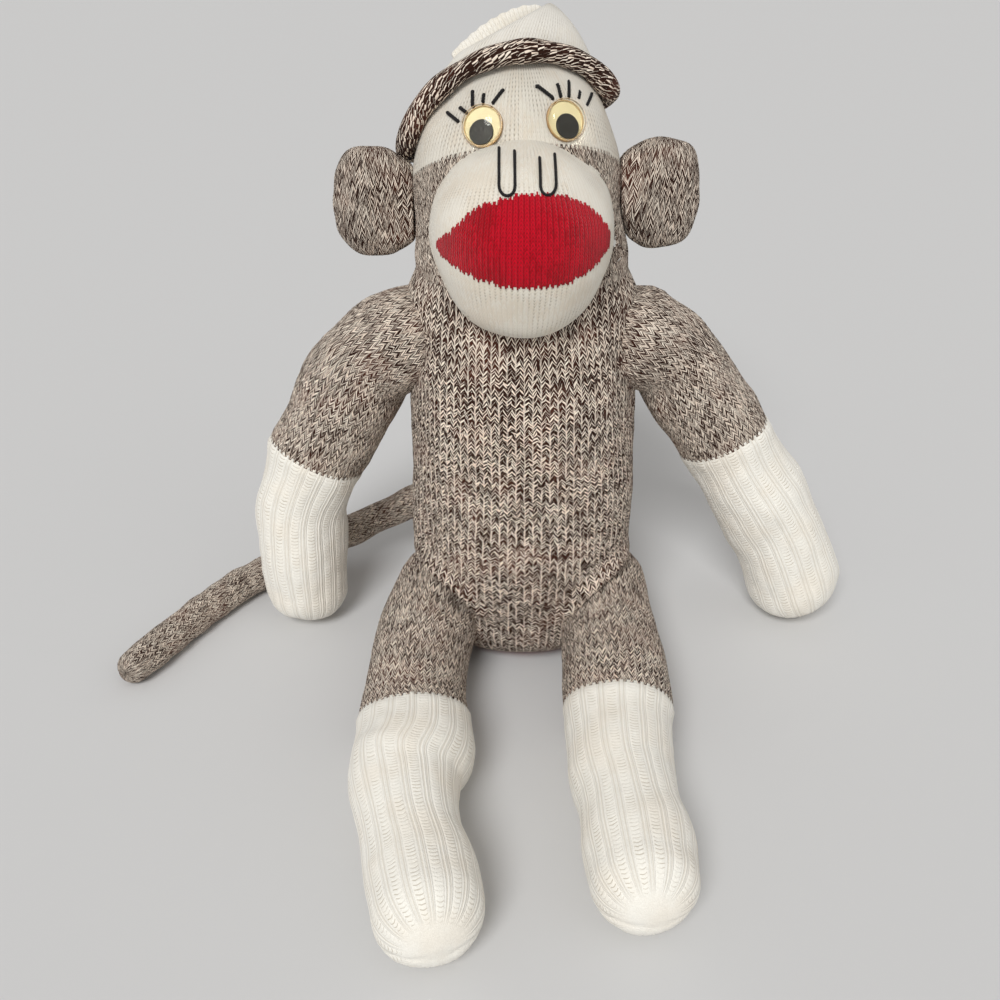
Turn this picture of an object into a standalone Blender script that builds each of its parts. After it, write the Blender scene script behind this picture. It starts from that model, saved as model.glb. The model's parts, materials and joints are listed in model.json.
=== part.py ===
"""A sock monkey doll, sitting on a floor: knit covers, their stuffing, wiggle eyes and thread stitches.

The doll faces -Y and sits on z = 0, with the origin at the middle of its seat. Left and right are the
viewer's, who stands in front of it, so left is -X. Each cover is a thin shell over its own stuffing.
Limbs end in a ball that sits in a round socket of the torso, so they can turn about its centre.
"""

import math

import bmesh
import bpy
from mathutils import Matrix, Vector

# Cloth, fits and cuts
COVER_WALL = 0.002
FIT_GAP = 0.0003
OVERRUN = 0.012
FLOOR_FLAT = 0.0005

# Torso: a tube of knit that leans back, rounded at the seat and domed at the neck
TORSO_HEIGHT = 0.196
TORSO_HALF_WIDTH = 0.056
TORSO_HALF_DEPTH = 0.0465
TORSO_EDGE = 0.028
TORSO_LEAN = 0.022
TORSO_SIDE = -0.0015
NECK_RADIUS = 0.0485
# Height of the torso, width, depth and lean, each as a share of its own size
TORSO_SHARES = (
    (0.143, 0.960, 0.89, 0.00),
    (0.280, 0.985, 1.00, 0.05),
    (0.460, 1.000, 1.00, 0.18),
    (0.640, 0.993, 0.99, 0.40),
    (0.800, 0.968, 0.98, 0.66),
    (0.930, 0.915, 1.00, 0.86),
)
NECK_RIM_ANGLE = math.radians(12)
NECK_WAD_RADIUS = 0.020
NECK_WAD_LENGTH = 0.030
SPINE_ANGLE = math.radians(10)

# Seat heel: the sock's heel under and behind the seat
HEEL_RADIUS = 0.044
HEEL_BACK = 0.014
HEEL_DROP = 0.010

# Head: an upright dome on the neck
HEAD_HALF_WIDTH = 0.049
HEAD_HALF_DEPTH = 0.0435
HEAD_RISE = 0.066
HEAD_LIFT = 0.034
HEAD_BACK = 0.011
HEAD_SIDE = -0.0025
JAW_HALF_WIDTH = 0.0508
JAW_HALF_DEPTH = 0.0500
TOE_LIFT = 0.008
TOE_TILT = math.radians(28)
TOE_ROLL = math.radians(4)

# Muzzle: a deep rounded cup on the front of the head
MUZZLE_HALF_WIDTH = 0.0418
MUZZLE_HALF_HEIGHT = 0.0405
MUZZLE_DEPTH = 0.060
MUZZLE_SIDE = 0.0018
MUZZLE_DROP = 0.0085
MUZZLE_AHEAD = 0.025
MUZZLE_FULLNESS = 2.5
MUZZLE_CLEARANCE = 0.006
# The lips' outline round the muzzle's centre, as shares of its half width and half height
LIPS_SHARES = (
    (-0.875, 0.04),
    (-0.70, 0.26),
    (-0.45, 0.52),
    (-0.20, 0.68),
    (0.06, 0.72),
    (0.34, 0.69),
    (0.60, 0.52),
    (0.80, 0.30),
    (0.89, 0.10),
    (0.80, -0.06),
    (0.55, -0.19),
    (0.22, -0.27),
    (-0.20, -0.23),
    (-0.60, -0.13),
)

# Ears: flat pads, each sewn on along its inner edge
EAR_LEFT_HALF_WIDTH = 0.0187
EAR_RIGHT_HALF_WIDTH = 0.0179
EAR_HALF_HEIGHT = 0.0255
EAR_HALF_THICKNESS = 0.010
EAR_FULLNESS = 2.65
EAR_SEAM_RADIUS = 0.005
EAR_SEAM_HALF_HEIGHT = 0.006
EAR_LEFT_GAP = 0.0001
EAR_RIGHT_GAP = 0.0010
EAR_LEFT_DROP = 0.0045
EAR_RIGHT_DROP = 0.0005
EAR_AHEAD = 0.002

# Arms: each a stuffed tube from the shoulder ball to the closed cuff
ARM_LENGTH = 0.165
ARM_RADIUS = 0.027
SHOULDER_OUT = 0.002
SHOULDER_DROP = 0.032
SHOULDER_AHEAD = 0.002
SHOULDER_WAD_RADIUS = 0.011
SHOULDER_WAD_LENGTH = 0.012
SHOULDER_SWING_ANGLES = (-30, 0, 40, 80)
SHOULDER_LIFT_ANGLES = (0, 50)
# Each route runs from the shoulder's centre to the hand's, as shares of the arm's length
ARM_LEFT_SHARES = (
    (0.0, 0.0, 0.0),
    (-0.117, 0.01, -0.072),
    (-0.186, 0.01, -0.166),
    (-0.255, 0.01, -0.294),
    (-0.326, 0.005, -0.434),
    (-0.375, 0.0, -0.571),
    (-0.384, -0.015, -0.723),
    (-0.381, -0.03, -0.866),
)
ARM_RIGHT_SHARES = (
    (0.0, 0.0, 0.0),
    (0.099, 0.01, -0.064),
    (0.168, 0.01, -0.155),
    (0.261, 0.01, -0.281),
    (0.333, 0.01, -0.408),
    (0.428, 0.01, -0.556),
    (0.501, 0.005, -0.684),
    (0.567, 0.0, -0.843),
)
# The tube's radius at the route's points, as a share of the arm's radius
ARM_LEFT_GIRTH_SHARES = (0.93, 0.91, 0.95, 0.93, 0.895, 0.855, 0.876, 0.80)
ARM_RIGHT_GIRTH_SHARES = (0.93, 0.83, 0.87, 0.88, 0.87, 0.94, 0.907, 0.93)
ARM_CUFF_SHARES = {-1: 0.535, 1: 0.475}
ARM_CUFF_SLANTS = {-1: 0.1, 1: 0.0}
# Over how much of its route, to each side of the cuff's edge, a limb's rings lean with that edge
SLANT_REACH = 0.35

# Legs: each a stuffed tube that lies on the floor, from the hip ball to the closed foot
LEG_LENGTH = 0.200
LEG_RADIUS = 0.0250
HIP_IN = 0.014
HIP_AHEAD = 0.005
HIP_LIFT = 0.030
HIP_WAD_RADIUS = 0.011
HIP_WAD_LENGTH = 0.010
HIP_SWING_ANGLES = (-21, 27, 75)
HIP_SPREAD_ANGLES = (0, 40)
# How much of a limb the torso makes room for, as a share of its route
ROOT_SHARE = 0.32
# Each route gives the way across and ahead as shares of the leg's length; the girth sets the height
LEG_LEFT_SHARES = (
    (0.0, 0.0),
    (-0.024, -0.10),
    (-0.040, -0.20),
    (-0.052, -0.40),
    (-0.041, -0.582),
    (-0.055, -0.698),
    (-0.033, -0.829),
    (-0.006, -0.93),
    (0.011, -1.005),
)
LEG_RIGHT_SHARES = (
    (0.0, 0.0),
    (0.003, -0.10),
    (0.007, -0.20),
    (0.006, -0.39),
    (-0.003, -0.56),
    (-0.006, -0.68),
    (0.001, -0.77),
    (0.009, -0.882),
    (0.011, -0.938),
)
LEG_LEFT_GIRTH_SHARES = (0.95, 0.95, 0.975, 0.945, 1.077, 0.97, 0.841, 0.895, 0.877)
LEG_RIGHT_GIRTH_SHARES = (0.95, 0.95, 0.965, 1.02, 0.955, 0.902, 0.855, 0.922, 0.859)
LEG_CUFF_SHARES = {-1: 0.42, 1: 0.42}
LEG_CUFF_SLANTS = {-1: 0.75, 1: 0.4}
# How many of the route's points a leg takes to come down from the hip's height to the floor
LEG_FALL = 3

# Tail: a thin stuffed tube from the back, round behind the left hand
TAIL_LENGTH = 0.260
TAIL_RADIUS = 0.0088
TAIL_LIFT = 0.062
TAIL_OUT = 0.0055
TAIL_ROOT_SHARE = 1.2
TAIL_SHARES = (
    (0.0, 0.0),
    (-0.11, 0.060),
    (-0.23, 0.045),
    (-0.37, 0.030),
    (-0.50, -0.015),
    (-0.60, -0.085),
    (-0.67, -0.185),
    (-0.725, -0.29),
    (-0.765, -0.375),
)
# How high the tail's middle lies at those points, as a share of the root's height over the floor
TAIL_HEIGHT_SHARES = (1.0, 0.90, 0.66, 0.34, 0.10, 0.02, 0.0, 0.0, 0.0)

# Hat: a rolled brim, steeper over the forehead than behind, and a soft folded crown
BRIM_RADIUS = 0.0048
BRIM_FRONT_TILT = math.radians(56)
BRIM_REAR_TILT = math.radians(22)
BRIM_BEND = 0.4
BRIM_ROLL = math.radians(15.4)
BRIM_LIFT = 0.037
BRIM_BACK = -0.002
BRIM_SIDE = 0.0025
CROWN_WALL = 0.002
CROWN_OUT = 0.0040
CROWN_LIFT = 0.0045
CROWN_CLEARANCE = 0.0022
CROWN_PEAK_RISE = 0.0785
CROWN_PEAK_SIDE = 0.0128
CROWN_PEAK_BACK = 0.013
CROWN_SAG = 1.51
CROWN_SAG_CHANGE = 0.26
CROWN_SAG_TURN = math.radians(-51)

# Wiggle eyes: a back plate, a loose pupil and a clear dome
EYE_RADIUS = 0.0090
EYE_BACK_THICKNESS = 0.0008
EYE_WALL = 0.0005
EYE_DOME_HEIGHT = 0.0050
EYE_DOME_SKIRT = 0.0016
EYE_BED = 0.0006
PUPIL_RADIUS = 0.0054
PUPIL_THICKNESS = 0.0009
PUPIL_DROP = 0.0027
EYE_LEFT_SIDE = -0.01525
EYE_LEFT_RISE = 0.0365
EYE_RIGHT_SIDE = 0.0200
EYE_RIGHT_RISE = 0.0383

# Eyelashes and nostrils: stitches of thread
THREAD_RADIUS = 0.0006
# Each lash from its inner end to its outer end, round the eye's centre, in shares of the eye's radius
LASH_LEFT_SHARES = (
    ((-1.40, 0.21), (-2.09, 0.62)),
    ((-1.02, 0.64), (-1.37, 0.84)),
    ((-0.70, 0.95), (-0.85, 1.62)),
    ((-0.19, 1.16), (-0.22, 1.49)),
    ((0.33, 1.13), (0.67, 1.78)),
)
LASH_RIGHT_SHARES = (
    ((-0.39, 1.12), (-0.97, 1.80)),
    ((0.05, 1.17), (0.08, 1.75)),
    ((0.50, 1.12), (0.78, 1.88)),
    ((1.07, 1.01), (1.28, 1.36)),
    ((1.49, 0.67), (2.15, 1.30)),
)
# Each nostril is a long U: its middle, half width and ends as shares of the muzzle's half width and height
NOSTRIL_HALF_WIDTH = 0.0032
NOSTRIL_MIDDLE_SHARES = (-0.164, 0.234)
NOSTRIL_TOP_SHARES = (0.94, 0.90)
NOSTRIL_BOTTOM_SHARE = 0.755

# Facets
LIMB_SIDES = 14
TORSO_SIDES = 24
HEAD_SIDES = 24
MUZZLE_SIDES = 20
EAR_SIDES = 12
TAIL_SIDES = 8
BRIM_SIDES = 8
RIM_SIDES = 22
EYE_SIDES = 16
THREAD_SIDES = 5
BALL_SIDES = 14
CAP_RINGS = 3
DOME_RINGS = 4
DEPTH_RINGS = 6
ARM_RINGS = 8
LEG_RINGS = 9
TAIL_RINGS = 15

QUARTER = math.pi / 2
TURN = 2 * math.pi

COLOURS = {
    "marl": (0.27, 0.17, 0.13),
    "cream": (0.80, 0.74, 0.64),
    "red": (0.55, 0.01, 0.03),
    "fibre": (0.86, 0.85, 0.82),
    "black_thread": (0.015, 0.014, 0.015),
    "eye_back": (0.78, 0.70, 0.47),
    "pupil": (0.03, 0.03, 0.03),
    "clear": (0.95, 0.93, 0.85),
}


def clear_scene():
    for obj in list(bpy.data.objects):
        bpy.data.objects.remove(obj, do_unlink=True)


def material(name):
    """The Principled material of that name, made once."""
    if name in bpy.data.materials:
        return bpy.data.materials[name]
    made = bpy.data.materials.new(name)
    made.use_nodes = True
    shader = made.node_tree.nodes["Principled BSDF"]
    shader.inputs["Base Color"].default_value = (*COLOURS[name], 1)
    smooth = name in ("eye_back", "pupil", "clear")
    shader.inputs["Roughness"].default_value = 0.12 if smooth else 0.9
    shader.inputs["Metallic"].default_value = 0
    shader.inputs["Alpha"].default_value = 0.25 if name == "clear" else 1
    return made


# Meshes from rings of points


def ring(centre, across, up, half_across, half_up, sides):
    """An ellipse of points round a centre, in the plane of two unit directions."""
    points = []
    for side in range(sides):
        angle = TURN * side / sides
        points.append(centre + across * (half_across * math.cos(angle)) + up * (half_up * math.sin(angle)))
    return points


def bridge(mesh, first, second):
    for index, corner in enumerate(first):
        after = (index + 1) % len(first)
        mesh.faces.new((corner, first[after], second[after], second[index]))


def close_end(mesh, verts, pole):
    """Closes a ring of vertices with a fan to a pole, or flat where there is no pole."""
    if pole is None:
        mesh.faces.new(verts)
        return
    tip = mesh.verts.new(pole)
    for index, corner in enumerate(verts):
        mesh.faces.new((corner, verts[(index + 1) % len(verts)], tip))


class Form:
    """Rings of points with a pole or a flat end at the start and at the finish."""

    def __init__(self, rings, start=None, finish=None):
        self.rings = rings
        self.start = start
        self.finish = finish

    def add_to(self, mesh, close_start=True, close_finish=True):
        """Adds the rings' skin to a mesh and returns its first and last ring of vertices."""
        rows = [[mesh.verts.new(point) for point in points] for points in self.rings]
        for first, second in zip(rows, rows[1:]):
            bridge(mesh, first, second)
        if close_start:
            close_end(mesh, rows[0], self.start)
        if close_finish:
            close_end(mesh, rows[-1], self.finish)
        return rows[0], rows[-1]


def finish_object(name, mesh, colour):
    """Makes the named object from a bmesh, with its faces outward and smooth shading."""
    bmesh.ops.recalc_face_normals(mesh, faces=mesh.faces[:])
    data = bpy.data.meshes.new(name)
    mesh.to_mesh(data)
    mesh.free()
    data.shade_smooth()
    data.set_sharp_from_angle(angle=math.radians(40))
    data.materials.append(material(colour))
    made = bpy.data.objects.new(name, data)
    bpy.context.scene.collection.objects.link(made)
    return made


def solid(name, form, colour):
    """A closed solid of one form."""
    mesh = bmesh.new()
    form.add_to(mesh)
    return finish_object(name, mesh, colour)


def shell(name, outer, inner, colour, open_start=False, open_finish=False):
    """A cover between two forms of like rings, open at the ends that are asked for."""
    mesh = bmesh.new()
    outer_first, outer_last = outer.add_to(mesh, not open_start, not open_finish)
    inner_first, inner_last = inner.add_to(mesh, not open_start, not open_finish)
    if open_start:
        bridge(mesh, outer_first, inner_first)
    if open_finish:
        bridge(mesh, outer_last, inner_last)
    return finish_object(name, mesh, colour)


def cutter(name, form):
    """A closed solid that only cuts others."""
    made = solid(name, form, "fibre")
    made.hide_render = True
    made.display_type = "WIRE"
    return made


def cut(obj, tool, operation="DIFFERENCE"):
    change = obj.modifiers.new(tool.name, "BOOLEAN")
    change.object = tool
    change.operation = operation
    change.solver = "EXACT"


def boxed(centre, half_sizes, turn=None):
    """The form of a box, turned about its centre."""
    turn = turn or Matrix.Identity(3)
    rings = []
    for level in (-1, 1):
        corners = ((-1, -1), (1, -1), (1, 1), (-1, 1))
        offsets = [Vector((x * half_sizes[0], y * half_sizes[1], level * half_sizes[2])) for x, y in corners]
        rings.append([centre + turn @ offset for offset in offsets])
    return Form(rings)


def round_factor(sides):
    """How much wider a faceted ball is made so that all its facets lie outside the true ball."""
    return 1 / math.cos(math.pi / sides) ** 2


def ball(centre, radius, sides=BALL_SIDES):
    """The form of a ball whose facets lie outside the radius."""
    reach = radius * round_factor(sides)
    rows = sides // 2
    rings = []
    for row in range(1, rows):
        angle = math.pi * row / rows - QUARTER
        middle = centre + Vector((0, 0, reach * math.sin(angle)))
        half = reach * math.cos(angle)
        rings.append(ring(middle, Vector((1, 0, 0)), Vector((0, 1, 0)), half, half, sides))
    return Form(rings, centre - Vector((0, 0, reach)), centre + Vector((0, 0, reach)))


def rod(start, finish, radius, sides=EYE_SIDES):
    """The form of a straight round bar with flat ends."""
    along = (finish - start).normalized()
    across = along.orthogonal().normalized()
    up = along.cross(across)
    return Form([ring(point, across, up, radius, radius, sides) for point in (start, finish)])


def blended(values, place):
    """The value at a share of the way through a list, on a smooth curve through its entries."""
    last = len(values) - 1
    spot = min(max(place, 0), 1) * last
    index = min(int(spot), last - 1)
    part = spot - index
    before = values[max(index - 1, 0)]
    here = values[index]
    there = values[index + 1]
    after = values[min(index + 2, last)]
    slope_here = (there - before) / 2
    slope_there = (after - here) / 2
    rise = 3 * part**2 - 2 * part**3
    return (
        here * (1 - rise)
        + there * rise
        + slope_here * (part - 2 * part**2 + part**3)
        + slope_there * (part**3 - part**2)
    )


class Tube:
    """A stuffed tube along a route, with a round cap at both ends."""

    def __init__(self, points, radii, sides, reference, slant=0.0, slant_place=0.0):
        self.points = points
        self.radii = radii
        self.sides = sides
        self.reference = reference
        self.slant = slant
        self.slant_place = slant_place

    def lean(self, place):
        """How far the rings lean along the tube at a share of the route, most at the cuff's edge."""
        away = min(abs(place - self.slant_place) / SLANT_REACH, 1)
        return self.slant * math.cos(QUARTER * away) ** 2

    def section(self, place, inset, start_cap=None, finish_cap=None):
        """One ring at a share of the route; a cap angle moves it back or on over the round end."""
        centre = blended(self.points, place)
        step = 0.5 / len(self.points) / len(self.points)
        along = (blended(self.points, place + step) - blended(self.points, place - step)).normalized()
        radius = blended(self.radii, place) - inset
        across = (self.reference - along * self.reference.dot(along)).normalized()
        up = along.cross(across)
        if start_cap is not None:
            centre = centre - along * radius * math.sin(start_cap)
            radius *= math.cos(start_cap)
        if finish_cap is not None:
            centre = centre + along * radius * math.sin(finish_cap)
            radius *= math.cos(finish_cap)
        return ring(centre, across + along * self.lean(place), up, radius, radius, self.sides)

    def pole(self, place, inset):
        """The tip of the round end at the route's start or finish."""
        ahead = 1 if place else -1
        step = 0.5 / len(self.points) / len(self.points)
        along = (blended(self.points, place + step) - blended(self.points, place - step)).normalized()
        return blended(self.points, place) + along * (blended(self.radii, place) - inset) * ahead

    def form(self, inset, places):
        """The tube through shares of its route, capped where it reaches an end of the route."""
        caps = [QUARTER * cap / (CAP_RINGS + 1) for cap in range(1, CAP_RINGS + 1)]
        rows = [self.section(place, inset) for place in places]
        start = None
        finish = None
        if places[0] == 0:
            rows = [self.section(0, inset, start_cap=cap) for cap in reversed(caps)] + rows
            start = self.pole(0, inset)
        if places[-1] == 1:
            rows += [self.section(1, inset, finish_cap=cap) for cap in caps]
            finish = self.pole(1, inset)
        return Form(rows, start, finish)


def evenly(first, last, steps):
    """Shares from the first to the last in even steps."""
    return [first + (last - first) * step / steps for step in range(steps + 1)]


# The places that the pieces share

NECK = Vector((TORSO_SIDE, TORSO_LEAN, TORSO_HEIGHT))
SPINE = Vector((0, math.sin(SPINE_ANGLE), math.cos(SPINE_ANGLE)))
HEAD = NECK + Vector((HEAD_SIDE, HEAD_BACK, HEAD_LIFT))
MUZZLE = HEAD + Vector((MUZZLE_SIDE, -MUZZLE_AHEAD, -MUZZLE_DROP))
FLAT_ACROSS = Vector((1, 0, 0))
FLAT_AHEAD = Vector((0, 1, 0))
UPWARD = Vector((0, 0, 1))


def torso_centre(lean):
    return Vector((TORSO_SIDE * lean, TORSO_LEAN * lean, 0))


def torso_form(inset):
    """The torso: a rounded seat, swelling sides and a round dome about the neck's centre."""
    rings = []
    share, width_share, depth_share, _ = TORSO_SHARES[0]
    edge = TORSO_EDGE - inset
    for row in range(CAP_RINGS):
        angle = QUARTER * row / CAP_RINGS
        centre = Vector((0, 0, inset + edge * (1 - math.cos(angle))))
        half_width = TORSO_HALF_WIDTH * width_share - TORSO_EDGE + edge * math.sin(angle)
        half_depth = TORSO_HALF_DEPTH * depth_share - TORSO_EDGE + edge * math.sin(angle)
        rings.append(ring(centre, FLAT_ACROSS, FLAT_AHEAD, half_width, half_depth, TORSO_SIDES))
    for share, width_share, depth_share, lean in TORSO_SHARES:
        centre = torso_centre(lean) + UPWARD * TORSO_HEIGHT * share
        half_width = TORSO_HALF_WIDTH * width_share - inset
        half_depth = TORSO_HALF_DEPTH * depth_share - inset
        rings.append(ring(centre, FLAT_ACROSS, FLAT_AHEAD, half_width, half_depth, TORSO_SIDES))
    dome = NECK_RADIUS - inset
    for row in range(DOME_RINGS):
        angle = QUARTER * row / DOME_RINGS
        centre = NECK + UPWARD * dome * math.sin(angle)
        half = dome * math.cos(angle)
        rings.append(ring(centre, FLAT_ACROSS, FLAT_AHEAD, half, half, TORSO_SIDES))
    return Form(rings, None, NECK + UPWARD * dome)


def torso_half_width(height):
    """The torso's half width at a height, straight between its sections."""
    places = [(TORSO_HEIGHT * row[0], TORSO_HALF_WIDTH * row[1]) for row in TORSO_SHARES]
    places.append((TORSO_HEIGHT, NECK_RADIUS))
    for (low, width), (high, next_width) in zip(places, places[1:]):
        if height <= high:
            return width + (next_width - width) * (height - low) / (high - low)
    return NECK_RADIUS


def head_form(inset, rim=True):
    """The head: straight cheeks from the neck's rim, then half an ellipsoid."""
    rings = []
    rim_height = NECK_RADIUS * math.sin(NECK_RIM_ANGLE) if rim else -OVERRUN
    cheek_rows = 3
    for row in range(cheek_rows):
        share = row / cheek_rows
        ease = share * share * (3 - 2 * share)
        height = rim_height + (HEAD_LIFT - rim_height) * share
        centre = NECK.lerp(HEAD, ease)
        centre.z = NECK.z + height
        half_width = JAW_HALF_WIDTH + (HEAD_HALF_WIDTH - JAW_HALF_WIDTH) * ease - inset
        half_depth = JAW_HALF_DEPTH + (HEAD_HALF_DEPTH - JAW_HALF_DEPTH) * ease - inset
        rings.append(ring(centre, FLAT_ACROSS, FLAT_AHEAD, half_width, half_depth, HEAD_SIDES))
    rise = HEAD_RISE - inset
    dome_rows = 6
    for row in range(dome_rows):
        angle = QUARTER * row / dome_rows
        centre = HEAD + UPWARD * rise * math.sin(angle)
        half_width = (HEAD_HALF_WIDTH - inset) * math.cos(angle)
        half_depth = (HEAD_HALF_DEPTH - inset) * math.cos(angle)
        rings.append(ring(centre, FLAT_ACROSS, FLAT_AHEAD, half_width, half_depth, HEAD_SIDES))
    return Form(rings, None, HEAD + UPWARD * rise)


def head_front(side, rise):
    """A point on the head's front, that far to the side and up from its centre, and the outward direction."""
    share = (side / HEAD_HALF_WIDTH) ** 2 + (rise / HEAD_RISE) ** 2
    ahead = HEAD_HALF_DEPTH * math.sqrt(1 - share)
    outward = Vector((side / HEAD_HALF_WIDTH**2, -ahead / HEAD_HALF_DEPTH**2, rise / HEAD_RISE**2))
    return HEAD + Vector((side, -ahead, rise)), outward.normalized()


def head_surface(place, outward, grow=0.0):
    """Where a line through a place along a direction leaves the head's dome, grown by a distance."""
    sizes = (HEAD_HALF_WIDTH + grow, HEAD_HALF_DEPTH + grow, HEAD_RISE + grow)
    start = place - HEAD
    squares = sum((outward[axis] / sizes[axis]) ** 2 for axis in range(3))
    mixed = sum(outward[axis] * start[axis] / sizes[axis] ** 2 for axis in range(3))
    rest = sum((start[axis] / sizes[axis]) ** 2 for axis in range(3)) - 1
    return place + outward * ((-mixed + math.sqrt(mixed**2 - squares * rest)) / squares)


def clear_of_head(place, grow):
    """The place itself, or where it lies within the head's dome, grown by a distance, the dome's surface."""
    offset = place - HEAD
    sizes = (HEAD_HALF_WIDTH + grow, HEAD_HALF_DEPTH + grow, HEAD_RISE + grow)
    reach = math.sqrt(sum((offset[axis] / sizes[axis]) ** 2 for axis in range(3)))
    return place if reach > 1 else HEAD + offset / reach


def muzzle_form(inset):
    """The muzzle: ellipses that shrink to a blunt front."""
    rings = []
    depth = MUZZLE_DEPTH - inset
    for row in range(DEPTH_RINGS):
        angle = QUARTER * row / DEPTH_RINGS
        shrink = math.cos(angle) ** (2 / MUZZLE_FULLNESS)
        ahead = depth * math.sin(angle) ** (2 / MUZZLE_FULLNESS)
        centre = MUZZLE - FLAT_AHEAD * ahead
        half_width = (MUZZLE_HALF_WIDTH - inset) * shrink
        half_height = (MUZZLE_HALF_HEIGHT - inset) * shrink
        rings.append(ring(centre, FLAT_ACROSS, UPWARD, half_width, half_height, MUZZLE_SIDES))
    return Form(rings, None, MUZZLE - FLAT_AHEAD * depth)


def muzzle_front(side_share, rise_share, out):
    """A point off the muzzle's front by a distance along the surface's outward direction."""
    reach = math.hypot(side_share, rise_share)
    ahead = MUZZLE_DEPTH * (1 - reach**MUZZLE_FULLNESS) ** (1 / MUZZLE_FULLNESS)
    flat = reach ** (MUZZLE_FULLNESS - 2)
    outward = Vector(
        (
            flat * side_share / MUZZLE_HALF_WIDTH,
            -((ahead / MUZZLE_DEPTH) ** (MUZZLE_FULLNESS - 1)) / MUZZLE_DEPTH,
            flat * rise_share / MUZZLE_HALF_HEIGHT,
        )
    )
    place = MUZZLE + Vector((side_share * MUZZLE_HALF_WIDTH, -ahead, rise_share * MUZZLE_HALF_HEIGHT))
    return place + outward.normalized() * out


# Limbs

SHOULDER_HEIGHT = TORSO_HEIGHT - SHOULDER_DROP
SHOULDER_X = torso_half_width(SHOULDER_HEIGHT) + SHOULDER_OUT
SHOULDER_Y = TORSO_LEAN * SHOULDER_HEIGHT / TORSO_HEIGHT - SHOULDER_AHEAD
HIP_X = TORSO_HALF_WIDTH - HIP_IN


def arm_tube(side):
    """The arm on one side: -1 is left and 1 is right."""
    shoulder = Vector((side * SHOULDER_X, SHOULDER_Y, SHOULDER_HEIGHT))
    shares = ARM_LEFT_SHARES if side < 0 else ARM_RIGHT_SHARES
    girths = ARM_LEFT_GIRTH_SHARES if side < 0 else ARM_RIGHT_GIRTH_SHARES
    points = [shoulder + Vector(share) * ARM_LENGTH for share in shares]
    hand = ARM_RADIUS * girths[-1]
    points[-1].z = hand - FLOOR_FLAT
    radii = [ARM_RADIUS * girth for girth in girths]
    return Tube(points, radii, LIMB_SIDES, FLAT_AHEAD, ARM_CUFF_SLANTS[side], ARM_CUFF_SHARES[side])


def leg_tube(side):
    """The leg on one side, which leaves the hip's height for the floor as it goes."""
    shares = LEG_LEFT_SHARES if side < 0 else LEG_RIGHT_SHARES
    girths = LEG_LEFT_GIRTH_SHARES if side < 0 else LEG_RIGHT_GIRTH_SHARES
    points = []
    for index, ((across, ahead), girth) in enumerate(zip(shares, girths)):
        lying = LEG_RADIUS * girth - FLOOR_FLAT
        height = HIP_LIFT + (lying - HIP_LIFT) * min(index / LEG_FALL, 1)
        points.append(Vector((side * HIP_X + across * LEG_LENGTH, ahead * LEG_LENGTH - HIP_AHEAD, height)))
    radii = [LEG_RADIUS * girth for girth in girths]
    return Tube(points, radii, LIMB_SIDES, UPWARD, LEG_CUFF_SLANTS[side], LEG_CUFF_SHARES[side])


def tail_tube():
    """The tail, from a ball at the torso's back down to the floor."""
    lean = TORSO_LEAN * TORSO_SHARES[1][3]
    root_y = lean + TORSO_HALF_DEPTH + TAIL_OUT
    lying = TAIL_RADIUS - FLOOR_FLAT
    points = []
    for (across, ahead), height in zip(TAIL_SHARES, TAIL_HEIGHT_SHARES):
        level = lying + (TAIL_LIFT - lying) * height
        points.append(Vector((across * TAIL_LENGTH, root_y + ahead * TAIL_LENGTH, level)))
    radii = [TAIL_RADIUS] * len(points)
    return Tube(points, radii, TAIL_SIDES, UPWARD)


ARMS = {-1: arm_tube(-1), 1: arm_tube(1)}
LEGS = {-1: leg_tube(-1), 1: leg_tube(1)}
TAIL = tail_tube()
SIDE_NAMES = {-1: "left", 1: "right"}


def wad(tube, side, radius, length, overlap):
    """A short bar of stuffing in line with a socket's centre, on the torso's side of it."""
    inward = FLAT_ACROSS * -side
    start = tube.points[0]
    ball_radius = tube.radii[0]
    near = start + inward * (ball_radius - overlap)
    return rod(near, start + inward * (ball_radius + length), radius, LIMB_SIDES)


def socket_tool(name, tube, side, swings, lifts, lift_axis):
    """The room in the torso for a limb's ball and for its root at every angle that it turns to."""
    pivot = tube.points[0]
    root = tube.form(-FIT_GAP * 2, evenly(1 / tube.sides, ROOT_SHARE, 2))
    points = [point for row in ball(pivot, tube.radii[0] + FIT_GAP).rings for point in row]
    for swing in swings:
        for lift in lifts:
            turn = Matrix.Rotation(math.radians(swing), 3, FLAT_ACROSS)
            turn = turn @ Matrix.Rotation(math.radians(lift * side), 3, lift_axis)
            points += [pivot + turn @ (point - pivot) for row in root.rings for point in row]
    mesh = bmesh.new()
    for point in points:
        mesh.verts.new(point)
    hull = bmesh.ops.convex_hull(mesh, input=mesh.verts[:])
    inner = [item for item in hull["geom_interior"] if isinstance(item, bmesh.types.BMVert)]
    bmesh.ops.delete(mesh, geom=inner, context="VERTS")
    made = finish_object(name, mesh, "fibre")
    made.hide_render = True
    made.display_type = "WIRE"
    return made


def build_limb(tube, names, cuff_share, floor, rings):
    """One limb: its marled cover, its ribbed cuff and its stuffing, flat where it lies on the floor."""
    cover_name, cuff_name, stuffing_name = names
    half_gap = FIT_GAP / 2 / sum((b - a).length for a, b in zip(tube.points, tube.points[1:]))
    first = round(rings * cuff_share)
    upper = evenly(0, cuff_share - half_gap, first)
    lower = evenly(cuff_share + half_gap, 1, rings - first)
    cover = shell(cover_name, tube.form(0, upper), tube.form(COVER_WALL, upper), "marl", open_finish=True)
    cuff = shell(cuff_name, tube.form(0, lower), tube.form(COVER_WALL, lower), "cream", open_start=True)
    stuffing = solid(stuffing_name, tube.form(COVER_WALL + FIT_GAP, upper + lower), "fibre")
    for piece in (cover, cuff, stuffing):
        cut(piece, floor)


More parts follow.
